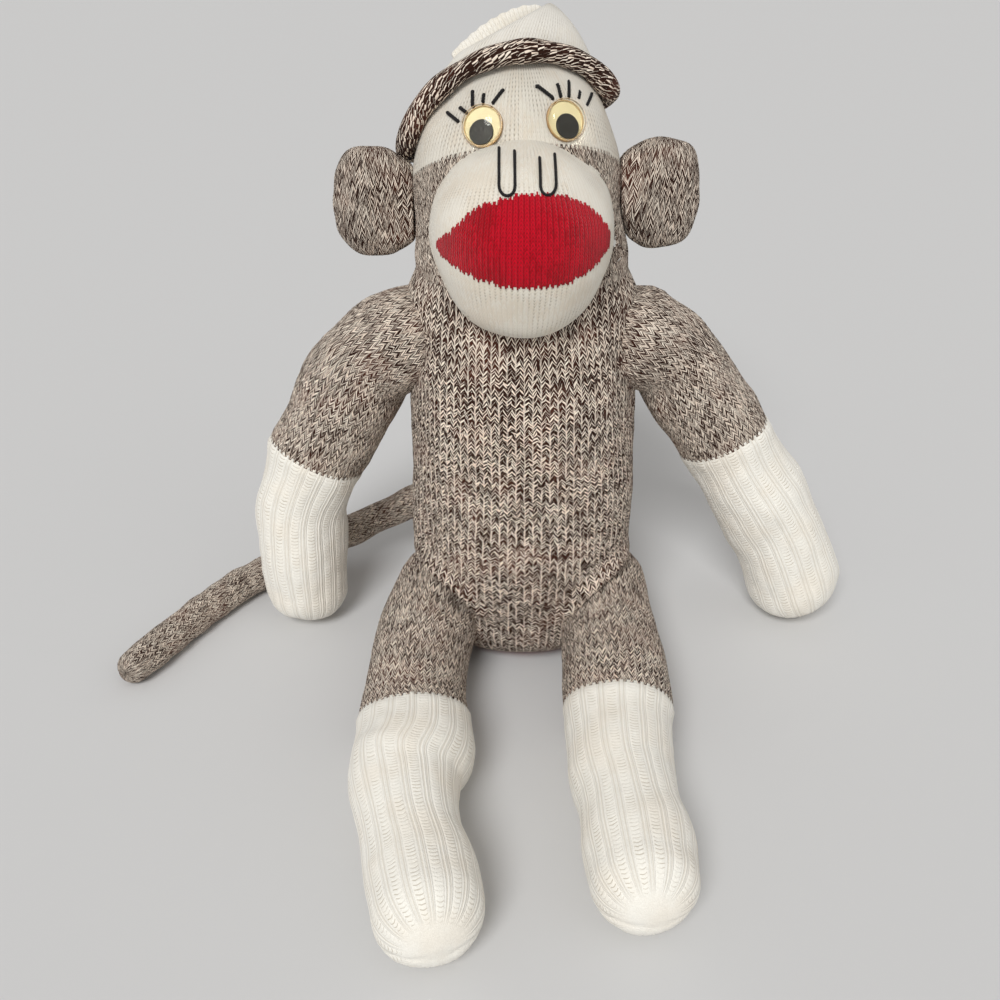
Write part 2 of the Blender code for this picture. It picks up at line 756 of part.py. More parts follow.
def build_torso(floor):
    """The torso's cover, its red heel and its stuffing, with sockets for all that turns on it."""
    heel_centre = Vector((0, HEEL_BACK, -HEEL_DROP))
    heel_tool = cutter("heel_tool", ball(heel_centre, HEEL_RADIUS))
    heel_room = cutter("heel_room", ball(heel_centre, HEEL_RADIUS + FIT_GAP))
    inside = cutter("torso_inside", torso_form(COVER_WALL))
    cover = solid("torso", torso_form(0), "marl")
    heel = solid("seat_heel", torso_form(0), "red")
    stuffing = solid("torso_stuffing", torso_form(COVER_WALL + FIT_GAP), "fibre")
    cut(cover, inside)
    cut(heel, inside)
    cut(heel, heel_tool, "INTERSECT")
    cut(cover, heel_room)
    for side in (-1, 1):
        name = SIDE_NAMES[side]
        swings = [-angle for angle in SHOULDER_SWING_ANGLES]
        lifts = SHOULDER_LIFT_ANGLES
        spreads = HIP_SPREAD_ANGLES
        shoulder = socket_tool(f"shoulder_socket_{name}", ARMS[side], side, swings, lifts, -FLAT_AHEAD)
        hip = socket_tool(f"hip_socket_{name}", LEGS[side], side, HIP_SWING_ANGLES, spreads, UPWARD)
        for piece in (cover, heel, stuffing):
            cut(piece, hip)
        for piece in (cover, stuffing):
            cut(piece, shoulder)
        for joint, tube, radius, length, tool in (
            ("shoulder", ARMS[side], SHOULDER_WAD_RADIUS, SHOULDER_WAD_LENGTH, shoulder),
            ("hip", LEGS[side], HIP_WAD_RADIUS, HIP_WAD_LENGTH, hip),
        ):
            filling = solid(f"{joint}_stuffing_{name}", wad(tube, side, radius, length, radius / 2), "fibre")
            cut(filling, tool)
            room = wad(tube, side, radius + FIT_GAP * 2, length + FIT_GAP, radius / 2)
            cut(stuffing, cutter(f"{joint}_wad_room_{name}", room))
    root = cutter("tail_socket", ball(TAIL.points[0], TAIL_RADIUS * TAIL_ROOT_SHARE))
    neck_low = NECK + SPINE * (NECK_RADIUS - NECK_WAD_LENGTH)
    neck_high = NECK + SPINE * (NECK_RADIUS + OVERRUN)
    neck_room = rod(neck_low - SPINE * FIT_GAP, neck_high, NECK_WAD_RADIUS + FIT_GAP * 2, BALL_SIDES)
    neck_tool = cutter("neck_room", neck_room)
    for piece in (cover, stuffing):
        cut(piece, root)
        cut(piece, neck_tool)
    neck = solid("neck_stuffing", rod(neck_low, neck_high, NECK_WAD_RADIUS, BALL_SIDES), "fibre")
    cut(neck, cutter("neck_round", torso_form(0)), "INTERSECT")


def build_head():
    """The head's marled and cream covers and its stuffing, hollowed to sit on the neck's dome."""
    socket = cutter("neck_socket", ball(NECK, NECK_RADIUS + FIT_GAP, TORSO_SIDES))
    inside = cutter("head_inside", head_form(COVER_WALL))
    centre = HEAD + UPWARD * TOE_LIFT
    turn = Matrix.Rotation(-TOE_ROLL, 3, "Y") @ Matrix.Rotation(-TOE_TILT, 3, "X")
    half = Vector((TORSO_HEIGHT, TORSO_HEIGHT, TORSO_HEIGHT / 2))
    lift = turn @ UPWARD * (half.z + FIT_GAP / 2)
    above = cutter("toe_side", boxed(centre + lift, half, turn))
    below = cutter("cheek_side", boxed(centre - lift, half, turn))
    lower = solid("head_lower", head_form(0), "marl")
    cap = solid("head_toe_cap", head_form(0), "cream")
    for piece, side in ((lower, below), (cap, above)):
        cut(piece, inside)
        cut(piece, side, "INTERSECT")
    stuffing = solid("head_stuffing", head_form(COVER_WALL + FIT_GAP), "fibre")
    for piece in (lower, stuffing):
        cut(piece, socket)
    return cap


def build_muzzle():
    """The muzzle's cream cover, the red lips in it and its stuffing, all cut to the head's front."""
    head_room = cutter("head_room", head_form(-FIT_GAP, rim=False))
    chest_room = cutter("chest_room", ball(NECK, NECK_RADIUS + MUZZLE_CLEARANCE, HEAD_SIDES))
    inside = cutter("muzzle_inside", muzzle_form(COVER_WALL))

    def outline(grow):
        """A bar with the lips' outline, from inside the muzzle to in front of it."""
        rings = []
        for ahead in (0, MUZZLE_DEPTH + OVERRUN):
            points = []
            for side, rise in LIPS_SHARES:
                middle = Vector((side * MUZZLE_HALF_WIDTH, 0, rise * MUZZLE_HALF_HEIGHT))
                middle += (middle - Vector((0, 0, MUZZLE_HALF_HEIGHT / 4))).normalized() * grow
                points.append(MUZZLE + middle - FLAT_AHEAD * ahead)
            rings.append(points)
        return Form(rings)

    cover = solid("muzzle", muzzle_form(0), "cream")
    lips = solid("lips", muzzle_form(0), "red")
    stuffing = solid("muzzle_stuffing", muzzle_form(COVER_WALL + FIT_GAP), "fibre")
    cut(cover, inside)
    cut(cover, cutter("lips_room", outline(FIT_GAP)))
    cut(lips, inside)
    cut(lips, cutter("lips_outline", outline(0)), "INTERSECT")
    for piece in (cover, lips, stuffing):
        cut(piece, head_room)
        cut(piece, chest_room)


def ear_form(side, inset):
    """An ear: a flat pad with a squarish outline, its inner edge by the head's side."""
    drop = EAR_LEFT_DROP if side < 0 else EAR_RIGHT_DROP
    width = EAR_LEFT_HALF_WIDTH if side < 0 else EAR_RIGHT_HALF_WIDTH
    gap = EAR_LEFT_GAP if side < 0 else EAR_RIGHT_GAP
    centre = HEAD + Vector((side * (HEAD_HALF_WIDTH + gap + width), -EAR_AHEAD, -drop))
    rings = []
    rows = 7
    for row in range(1, rows):
        angle = math.pi * row / rows
        shrink = math.sin(angle) ** (2 / EAR_FULLNESS)
        height = -math.copysign(abs(math.cos(angle)) ** (2 / EAR_FULLNESS), math.cos(angle))
        middle = centre + UPWARD * height * (EAR_HALF_HEIGHT - inset)
        half_width = (width - inset) * shrink
        half_thickness = (EAR_HALF_THICKNESS - inset) * shrink
        rings.append(ring(middle, FLAT_ACROSS, FLAT_AHEAD, half_width, half_thickness, EAR_SIDES))
    reach = UPWARD * (EAR_HALF_HEIGHT - inset)
    return Form(rings, centre - reach, centre + reach)


def ear_axis(side):
    """The middle of the upright line that an ear folds on, near its sewn edge."""
    drop = EAR_LEFT_DROP if side < 0 else EAR_RIGHT_DROP
    gap = EAR_LEFT_GAP if side < 0 else EAR_RIGHT_GAP
    out = HEAD_HALF_WIDTH + gap + EAR_SEAM_RADIUS
    return HEAD + Vector((side * out, -EAR_AHEAD, -drop))


def build_ear(side):
    """One ear's cover, open along its sewn edge, and its stuffing."""
    name = SIDE_NAMES[side]
    cover = solid(f"ear_{name}", ear_form(side, 0), "marl")
    cut(cover, cutter(f"ear_inside_{name}", ear_form(side, COVER_WALL)))
    slot_size = Vector((EAR_SEAM_RADIUS, EAR_SEAM_RADIUS / 2, EAR_SEAM_HALF_HEIGHT))
    slot = ear_axis(side) - FLAT_ACROSS * side * EAR_SEAM_RADIUS
    cut(cover, cutter(f"ear_slot_{name}", boxed(slot, slot_size)))
    solid(f"ear_stuffing_{name}", ear_form(side, COVER_WALL + FIT_GAP), "fibre")


def brim_frame(angle):
    """The brim's centre and its directions across, ahead and above at an angle; the front is steeper."""
    front = min(max((math.sin(angle) + BRIM_BEND) / BRIM_BEND / 2, 0), 1)
    tilt = BRIM_REAR_TILT + (BRIM_FRONT_TILT - BRIM_REAR_TILT) * (3 * front**2 - 2 * front**3)
    turn = Matrix.Rotation(-BRIM_ROLL, 3, "Y") @ Matrix.Rotation(-tilt, 3, "X")
    centre = HEAD + Vector((BRIM_SIDE, BRIM_BACK, BRIM_LIFT))
    return centre, turn @ FLAT_ACROSS, turn @ -FLAT_AHEAD, turn @ UPWARD


def brim_point(angle, out, lift=0.0):
    """Where a ray from the brim's centre meets the head's surface grown by a distance."""
    centre, across, ahead, above = brim_frame(angle)
    way = across * math.cos(angle) + ahead * math.sin(angle)
    return head_surface(centre + above * lift, way, out)


def build_brim():
    """The rolled brim: a round roll of knit that lies on the head all the way round."""
    mesh = bmesh.new()
    rows = []
    for step in range(RIM_SIDES):
        angle = TURN * step / RIM_SIDES
        _, _, _, above = brim_frame(angle)
        nudge = TURN / RIM_SIDES / 2
        middle = brim_point(angle, BRIM_RADIUS + FIT_GAP * 2)
        along = (brim_point(angle + nudge, BRIM_RADIUS) - brim_point(angle - nudge, BRIM_RADIUS)).normalized()
        across = above.cross(along).normalized()
        up = along.cross(across)
        points = ring(middle, across, up, BRIM_RADIUS, BRIM_RADIUS, BRIM_SIDES)
        rows.append([mesh.verts.new(point) for point in points])
    for index, row in enumerate(rows):
        bridge(mesh, row, rows[(index + 1) % len(rows)])
    finish_object("hat_brim", mesh, "marl")


def crown_form(inset):
    """The crown: from a ring above the brim, in a sagging curve up to an off-centre peak."""
    centre, _, _, above = brim_frame(QUARTER)
    base = centre + above * CROWN_LIFT
    peak = HEAD + Vector((CROWN_PEAK_SIDE, CROWN_PEAK_BACK, CROWN_PEAK_RISE)) - above * inset
    rings = []
    for row in range(DEPTH_RINGS):
        turn = QUARTER * row / DEPTH_RINGS
        points = []
        for step in range(RIM_SIDES):
            angle = TURN * step / RIM_SIDES
            sag = CROWN_SAG + CROWN_SAG_CHANGE * math.cos(angle - CROWN_SAG_TURN)
            foot = brim_point(angle, CROWN_OUT - inset, CROWN_LIFT)
            place = base + (foot - base) * math.cos(turn) ** sag + (peak - base) * math.sin(turn) ** sag
            points.append(clear_of_head(place, CROWN_CLEARANCE + CROWN_WALL - inset))
        rings.append(points)
    return Form(rings, None, peak)


def eye_frame(side):
    """The middle of an eye's bed on the head, and the directions across, up and out of it."""
    if side < 0:
        place, outward = head_front(EYE_LEFT_SIDE, EYE_LEFT_RISE)
    else:
        place, outward = head_front(EYE_RIGHT_SIDE, EYE_RIGHT_RISE)
    across = UPWARD.cross(outward).normalized() * -1
    across = across if across.x > 0 else -across
    up = outward.cross(across).normalized()
    up = up if up.z > 0 else -up
    return place - outward * EYE_BED, across, up, outward


def build_eye(side, head_cap):
    """One wiggle eye on a flat bed in the head's cover: the back plate, the pupil and the clear dome."""
    name = SIDE_NAMES[side]
    bed, across, up, outward = eye_frame(side)
    room = rod(bed, bed + outward * OVERRUN, EYE_RADIUS + FIT_GAP * 2, EYE_SIDES)
    cut(head_cap, cutter(f"eye_bed_{name}", room))
    back_low = bed + outward * FIT_GAP
    back_high = back_low + outward * EYE_BACK_THICKNESS

    def disc(low, high, radius, middle=Vector()):
        return Form([ring(level + middle, across, up, radius, radius, EYE_SIDES) for level in (low, high)])

    solid(f"eye_back_{name}", disc(back_low, back_high, EYE_RADIUS), "eye_back")
    pupil_low = back_high + outward * FIT_GAP
    pupil_high = pupil_low + outward * PUPIL_THICKNESS
    solid(f"eye_pupil_{name}", disc(pupil_low, pupil_high, PUPIL_RADIUS, -up * PUPIL_DROP), "pupil")

    def dome(inset):
        """The dome's skin: an upright skirt, then a flat curve to the middle."""
        low = back_high + outward * FIT_GAP
        rings = [ring(low, across, up, EYE_RADIUS - inset, EYE_RADIUS - inset, EYE_SIDES)]
        rows = 2
        for row in range(rows):
            angle = QUARTER * row / rows
            rise = EYE_DOME_SKIRT + (EYE_DOME_HEIGHT - EYE_DOME_SKIRT - inset) * math.sin(angle)
            radius = (EYE_RADIUS - inset) * math.cos(angle)
            rings.append(ring(low + outward * rise, across, up, radius, radius, EYE_SIDES))
        return Form(rings, None, low + outward * (EYE_DOME_HEIGHT - inset))

    shell(f"eye_dome_{name}", dome(0), dome(EYE_WALL), "clear", open_start=True)


def thread(name, points):
    """One stitch of black thread through its points."""
    tube = Tube(points, [THREAD_RADIUS] * len(points), THREAD_SIDES, Vector((0, -1, 0)))
    rows = []
    last = len(points) - 1
    for index in range(last + 1):
        rows.append(tube.section(index / last, 0))
    solid(name, Form(rows), "black_thread")


def build_lashes(side):
    """Five stitches over one eye, each laid along the head's surface."""
    bed, across, up, outward = eye_frame(side)
    steps = 3
    for number, (inner, outer) in enumerate(LASH_LEFT_SHARES if side < 0 else LASH_RIGHT_SHARES, 1):
        points = []
        for step in range(steps + 1):
            share = step / steps
            aside = inner[0] + (outer[0] - inner[0]) * share
            rise = inner[1] + (outer[1] - inner[1]) * share
            place = head_surface(bed + across * aside * EYE_RADIUS + up * rise * EYE_RADIUS, outward)
            points.append(place + outward * (THREAD_RADIUS + FIT_GAP))
        thread(f"lash_{SIDE_NAMES[side]}_{number}", points)


def build_nostril(side):
    """One long U of thread on the muzzle's bridge."""
    index = 0 if side < 0 else 1
    middle = NOSTRIL_MIDDLE_SHARES[index]
    top = NOSTRIL_TOP_SHARES[index]
    half = NOSTRIL_HALF_WIDTH / MUZZLE_HALF_WIDTH
    low = NOSTRIL_BOTTOM_SHARE
    out = THREAD_RADIUS + FIT_GAP
    straight = 4
    bend = 4
    places = []
    for step in range(straight):
        places.append((-half, top + (low - top) * step / straight))
    for step in range(bend + 1):
        angle = math.pi + math.pi * step / bend
        places.append((half * math.cos(angle), low + half * math.sin(angle)))
    for step in range(1, straight + 1):
        places.append((half, low + (top - low) * step / straight))
    points = [muzzle_front(middle + across, rise, out) for across, rise in places]
    thread(f"nostril_{SIDE_NAMES[side]}", points)


def build_tail(floor):
    """The tail's cover, open at its root, and its stuffing."""
    places = evenly(0, 1, TAIL_RINGS)
    cover = solid("tail", TAIL.form(0, places), "marl")
    cut(cover, cutter("tail_inside", TAIL.form(COVER_WALL, places)))
    stuffing = solid("tail_stuffing", TAIL.form(COVER_WALL + FIT_GAP, places), "fibre")
    along = (TAIL.points[1] - TAIL.points[0]).normalized()
    near = TAIL.points[0] - along * TAIL_RADIUS / 2
    far = TAIL.points[0] - along * OVERRUN
    cut(cover, cutter("tail_mouth", rod(far, near, TAIL_RADIUS / 2, TAIL_SIDES)))
    for piece in (cover, stuffing):
        cut(piece, floor)


def pivot_of(name):
    """The joint that a piece turns on, or None for the pieces of the torso."""
    for side, word in SIDE_NAMES.items():
        if not name.endswith(word) and f"_{word}_" not in name:
            continue
        if name.startswith(("arm", "hand", "shoulder")):
            return ARMS[side].points[0]
        if name.startswith(("leg", "foot", "hip")):
            return LEGS[side].points[0]
        if name.startswith("ear"):
            return ear_axis(side)
        if name.startswith("eye_pupil"):
            return eye_frame(side)[0]
    if name.startswith("tail"):
        return TAIL.points[0]
    if name.startswith(("neck", "head", "muzzle", "lips", "hat", "nostril", "lash", "eye")):
        return NECK
    return None


def set_origins():
    """Moves the origin of each piece that turns onto the joint that it turns on."""
    for made in bpy.data.objects:
        pivot = pivot_of(made.name)
        if pivot is not None and not made.hide_render:
            made.data.transform(Matrix.Translation(-pivot))
            made.location = pivot


def build():
    clear_scene()
    reach = TORSO_HEIGHT + LEG_LENGTH
    floor = cutter("floor", boxed(Vector((0, 0, -reach / 2)), Vector((reach, reach, reach / 2))))
    build_torso(floor)
    for side in (-1, 1):
        name = SIDE_NAMES[side]
        arm_names = (f"arm_{name}", f"hand_cuff_{name}", f"arm_stuffing_{name}")
        leg_names = (f"leg_{name}", f"foot_cuff_{name}", f"leg_stuffing_{name}")
        build_limb(ARMS[side], arm_names, ARM_CUFF_SHARES[side], floor, ARM_RINGS)
        build_limb(LEGS[side], leg_names, LEG_CUFF_SHARES[side], floor, LEG_RINGS)
    build_tail(floor)
    head_cap = build_head()
    build_muzzle()
    for side in (-1, 1):
        build_ear(side)
        build_eye(side, head_cap)
        build_lashes(side)
        build_nostril(side)
    build_brim()
    shell("hat_crown", crown_form(0), crown_form(CROWN_WALL), "cream", open_start=True)
    set_origins()


build()
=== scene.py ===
"""A sock monkey doll, dressed for its picture: knit covers, a rolled-brim hat, glued eyes and thread stitches.

Metres, +Z up. The doll faces -Y. Left and right are those of a viewer in front of it, so left is -X.
"""

import json
import logging
import math
from collections.abc import Sequence
from dataclasses import dataclass, field
from enum import Enum

import bpy
import numpy as np
from mathutils import Matrix, Vector
from mathutils.bvhtree import BVHTree


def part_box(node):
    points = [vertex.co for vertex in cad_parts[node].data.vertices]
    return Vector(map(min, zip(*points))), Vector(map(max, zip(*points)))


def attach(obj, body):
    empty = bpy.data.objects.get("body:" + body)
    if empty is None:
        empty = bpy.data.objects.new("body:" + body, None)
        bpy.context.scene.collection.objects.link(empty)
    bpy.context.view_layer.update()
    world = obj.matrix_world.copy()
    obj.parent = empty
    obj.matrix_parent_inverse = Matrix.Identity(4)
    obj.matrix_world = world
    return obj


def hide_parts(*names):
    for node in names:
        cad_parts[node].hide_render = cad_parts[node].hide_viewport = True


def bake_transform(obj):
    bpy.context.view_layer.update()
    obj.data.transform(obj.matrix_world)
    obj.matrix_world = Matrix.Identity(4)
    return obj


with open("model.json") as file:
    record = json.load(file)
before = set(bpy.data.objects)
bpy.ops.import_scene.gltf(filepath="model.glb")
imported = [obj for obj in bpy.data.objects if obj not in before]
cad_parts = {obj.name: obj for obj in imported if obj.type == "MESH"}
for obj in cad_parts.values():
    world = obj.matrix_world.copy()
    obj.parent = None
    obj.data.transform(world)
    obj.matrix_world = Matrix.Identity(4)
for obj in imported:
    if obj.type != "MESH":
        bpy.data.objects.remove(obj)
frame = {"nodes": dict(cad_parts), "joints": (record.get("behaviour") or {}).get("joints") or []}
log = logging.getLogger("sock monkey")

Point = tuple[float, float, float]

TURN = 2 * math.pi
QUARTER = math.pi / 2
ACROSS = np.array((1.0, 0.0, 0.0))
AHEAD = np.array((0.0, -1.0, 0.0))
UP = np.array((0.0, 0.0, 1.0))
COARSEN = 1
POINTS_PER_WALE = 4
ROWS_PER_COURSE = 3
NEAR_POLE = 0.985
LIP = 0.0009
STUFFING_ROOM = 0.0005
STUFFING_SEARCH = 0.01
FLOOR_EASE = 0.002


class Side(Enum):
    """The viewer's side that a piece is on, as the sign of its X."""

    LEFT = -1
    RIGHT = 1

    @property
    def word(self) -> str:
        """The side's name in the frame's node names."""
        return self.name.lower()


# Curves and fields of numbers


def unit(vectors: np.ndarray) -> np.ndarray:
    """The same directions at length one.

    Args:
        vectors: directions along the last axis.

    Returns:
        The directions, each of length one.
    """
    return vectors / np.maximum(np.linalg.norm(vectors, axis=-1, keepdims=True), 1e-12)


def smooth_step(low: float, high: float, values: np.ndarray) -> np.ndarray:
    """Eases from 0 to 1 as the values go from low to high.

    Args:
        low: where the ease starts.
        high: where the ease ends.
        values: the numbers to ease.

    Returns:
        A number from 0 to 1 for each value.
    """
    share = np.clip((values - low) / (high - low), 0, 1)
    return share * share * (3 - 2 * share)


def angles_round(count: int) -> np.ndarray:
    """Even angles round a circle, each once."""
    return TURN * np.arange(count) / count


def tube_columns(wale_count: int) -> int:
    """How many points go round a tube with that many wales."""
    return wale_count * POINTS_PER_WALE // COARSEN


def distances_along(line: np.ndarray) -> np.ndarray:
    """How far along a line each of its places is.

    Args:
        line: the places, one a row.

    Returns:
        The distance of each from the first.
    """
    return np.concatenate([[0.0], np.cumsum(np.linalg.norm(np.diff(line, axis=0), axis=-1))])


def curve_between(
    before: np.ndarray, here: np.ndarray, there: np.ndarray, after: np.ndarray, part: np.ndarray
) -> np.ndarray:
    """Reads a smooth curve between two of its places.

    Args:
        before: the place before the two.
        here: the first of the two.
        there: the second of the two.
        after: the place after the two.
        part: how far from the first to the second, from 0 to 1.

    Returns:
        The curve's value.
    """
    rise = 3 * part**2 - 2 * part**3
    slopes = (there - before) / 2 * (part - 2 * part**2 + part**3) + (after - here) / 2 * (part**3 - part**2)
    return here * (1 - rise) + there * rise + slopes


def blended(values: np.ndarray, shares: np.ndarray) -> np.ndarray:
    """Reads a smooth curve through a list of values.

    Args:
        values: the list, one entry a row.
        shares: how far through the list to read, from 0 to 1.

    Returns:
        The curve's value at each share.
    """
    last = len(values) - 1
    spot = np.clip(shares, 0, 1) * last
    index = np.minimum(spot.astype(int), last - 1)
    part = (spot - index).reshape((-1,) + (1,) * (values.ndim - 1))
    return curve_between(values[np.maximum(index - 1, 0)], values[index], values[index + 1],
                         values[np.minimum(index + 2, last)], part)


def lumps(points: np.ndarray, size: float, seed: int) -> np.ndarray:
    """A gentle unevenness in space, the same each time.

    Args:
        points: the places to read it at.
        size: how far apart its lumps are.
        seed: picks one unevenness out of many.

    Returns:
        A number from about -1 to 1 for each place.
    """
    random = np.random.default_rng(seed)
    total = np.zeros(points.shape[:-1])
    waves = 7
    usual_peak = 1.2
    for _ in range(waves):
        way = unit(random.normal(size=3)) * TURN / size * random.uniform(0.7, 1.4)
        total += np.sin(points @ way + random.uniform(0, TURN))
    return total / math.sqrt(waves) / usual_peak


def smooth_loop(corners: np.ndarray, steps: int) -> np.ndarray:
    """A closed smooth curve through corners.

    Args:
        corners: the places that it passes, one a row.
        steps: points on each stretch.

    Returns:
        The curve's points.
    """
    count = len(corners)
    spots = np.arange(count * steps) / steps
    index = spots.astype(int)
    part = (spots - index)[:, None]
    return curve_between(*(corners[(index + shift) % count] for shift in (-1, 0, 1, 2)), part)


def inside_loop(places: np.ndarray, loop: np.ndarray) -> np.ndarray:
    """Which places lie inside a closed flat curve.

    Args:
        places: the flat places, two numbers each.
        loop: the curve's points, two numbers each.

    Returns:
        True for each place inside.
    """
    within = np.zeros(places.shape[:-1], bool)
    for (x1, y1), (x2, y2) in zip(loop, np.roll(loop, -1, axis=0)):
        if y1 == y2:
            continue
        crosses = (y1 > places[..., 1]) != (y2 > places[..., 1])
        meets = x1 + (places[..., 1] - y1) / (y2 - y1) * (x2 - x1)
        within ^= crosses & (places[..., 0] < meets)
    return within


# Knit


@dataclass(frozen=True)
class Gauge:
    """How coarse a knit is: the width and height of one stitch and how steep its two legs are, in stitches."""

    wale: float
    course: float
    slant: float = 1.25


TORSO_GAUGE = Gauge(0.0036, 0.0018, 1.3)
LIMB_GAUGE = Gauge(0.0031, 0.0021, 1.7)
EAR_GAUGE = Gauge(0.0031, 0.0022, -1.9)
CHEEK_GAUGE = Gauge(0.0025, 0.0018, 1.4)
TOE_GAUGE = Gauge(0.0020, 0.0021, 1.2)
BRIM_GAUGE = Gauge(0.0027, 0.0017, 0.6)
TAIL_GAUGE = Gauge(0.0025, 0.0018, 1.4)
RIB_ROW = 0.0018
FURROW = 0.17
LEG_END = 0.35
YARN_ROUND = 0.6


def stitch_legs(wales: np.ndarray, courses: np.ndarray, slant: float) -> tuple[np.ndarray, np.ndarray]:
    """Which row of stitches each place is in, as the legs of the stitches run.

    Args:
        wales: places across the stitches.
        courses: places along the rows' count.
        slant: how many rows a leg climbs from its edge to its middle.

    Returns:
        The place counted in rows along the legs, and the distance from the stitch's middle from 0 to 1.
    """
    aside = np.abs(wales - np.floor(wales) - 0.5) * 2
    return courses + slant * aside, aside


def stitch_height(wales: np.ndarray, courses: np.ndarray, slant: float) -> np.ndarray:
    """How high the yarn stands at each place, from 0 in the gaps to 1 on a leg's back.

    Args:
        wales: places across the stitches.
        courses: places along the rows' count.
        slant: how many rows a leg climbs from its edge to its middle.

    Returns:
        The height at each place.
    """
    legs, aside = stitch_legs(wales, courses, slant)
    part = legs - np.floor(legs)
    return 4 * part * (1 - part) * (LEG_END + (1 - LEG_END) * np.sin(np.clip(aside, 0, 1) * math.pi))


def mark_points(mesh: bpy.types.Mesh, name: str, values: np.ndarray) -> None:
    """Writes one number at each point of a mesh, for its material to read.

    Args:
        mesh: the mesh.
        name: the attribute's name.
        values: the numbers, in the order of the points.
    """
    mesh.attributes.new(name, "FLOAT", "POINT").data.foreach_set("value", values.astype(np.float32))


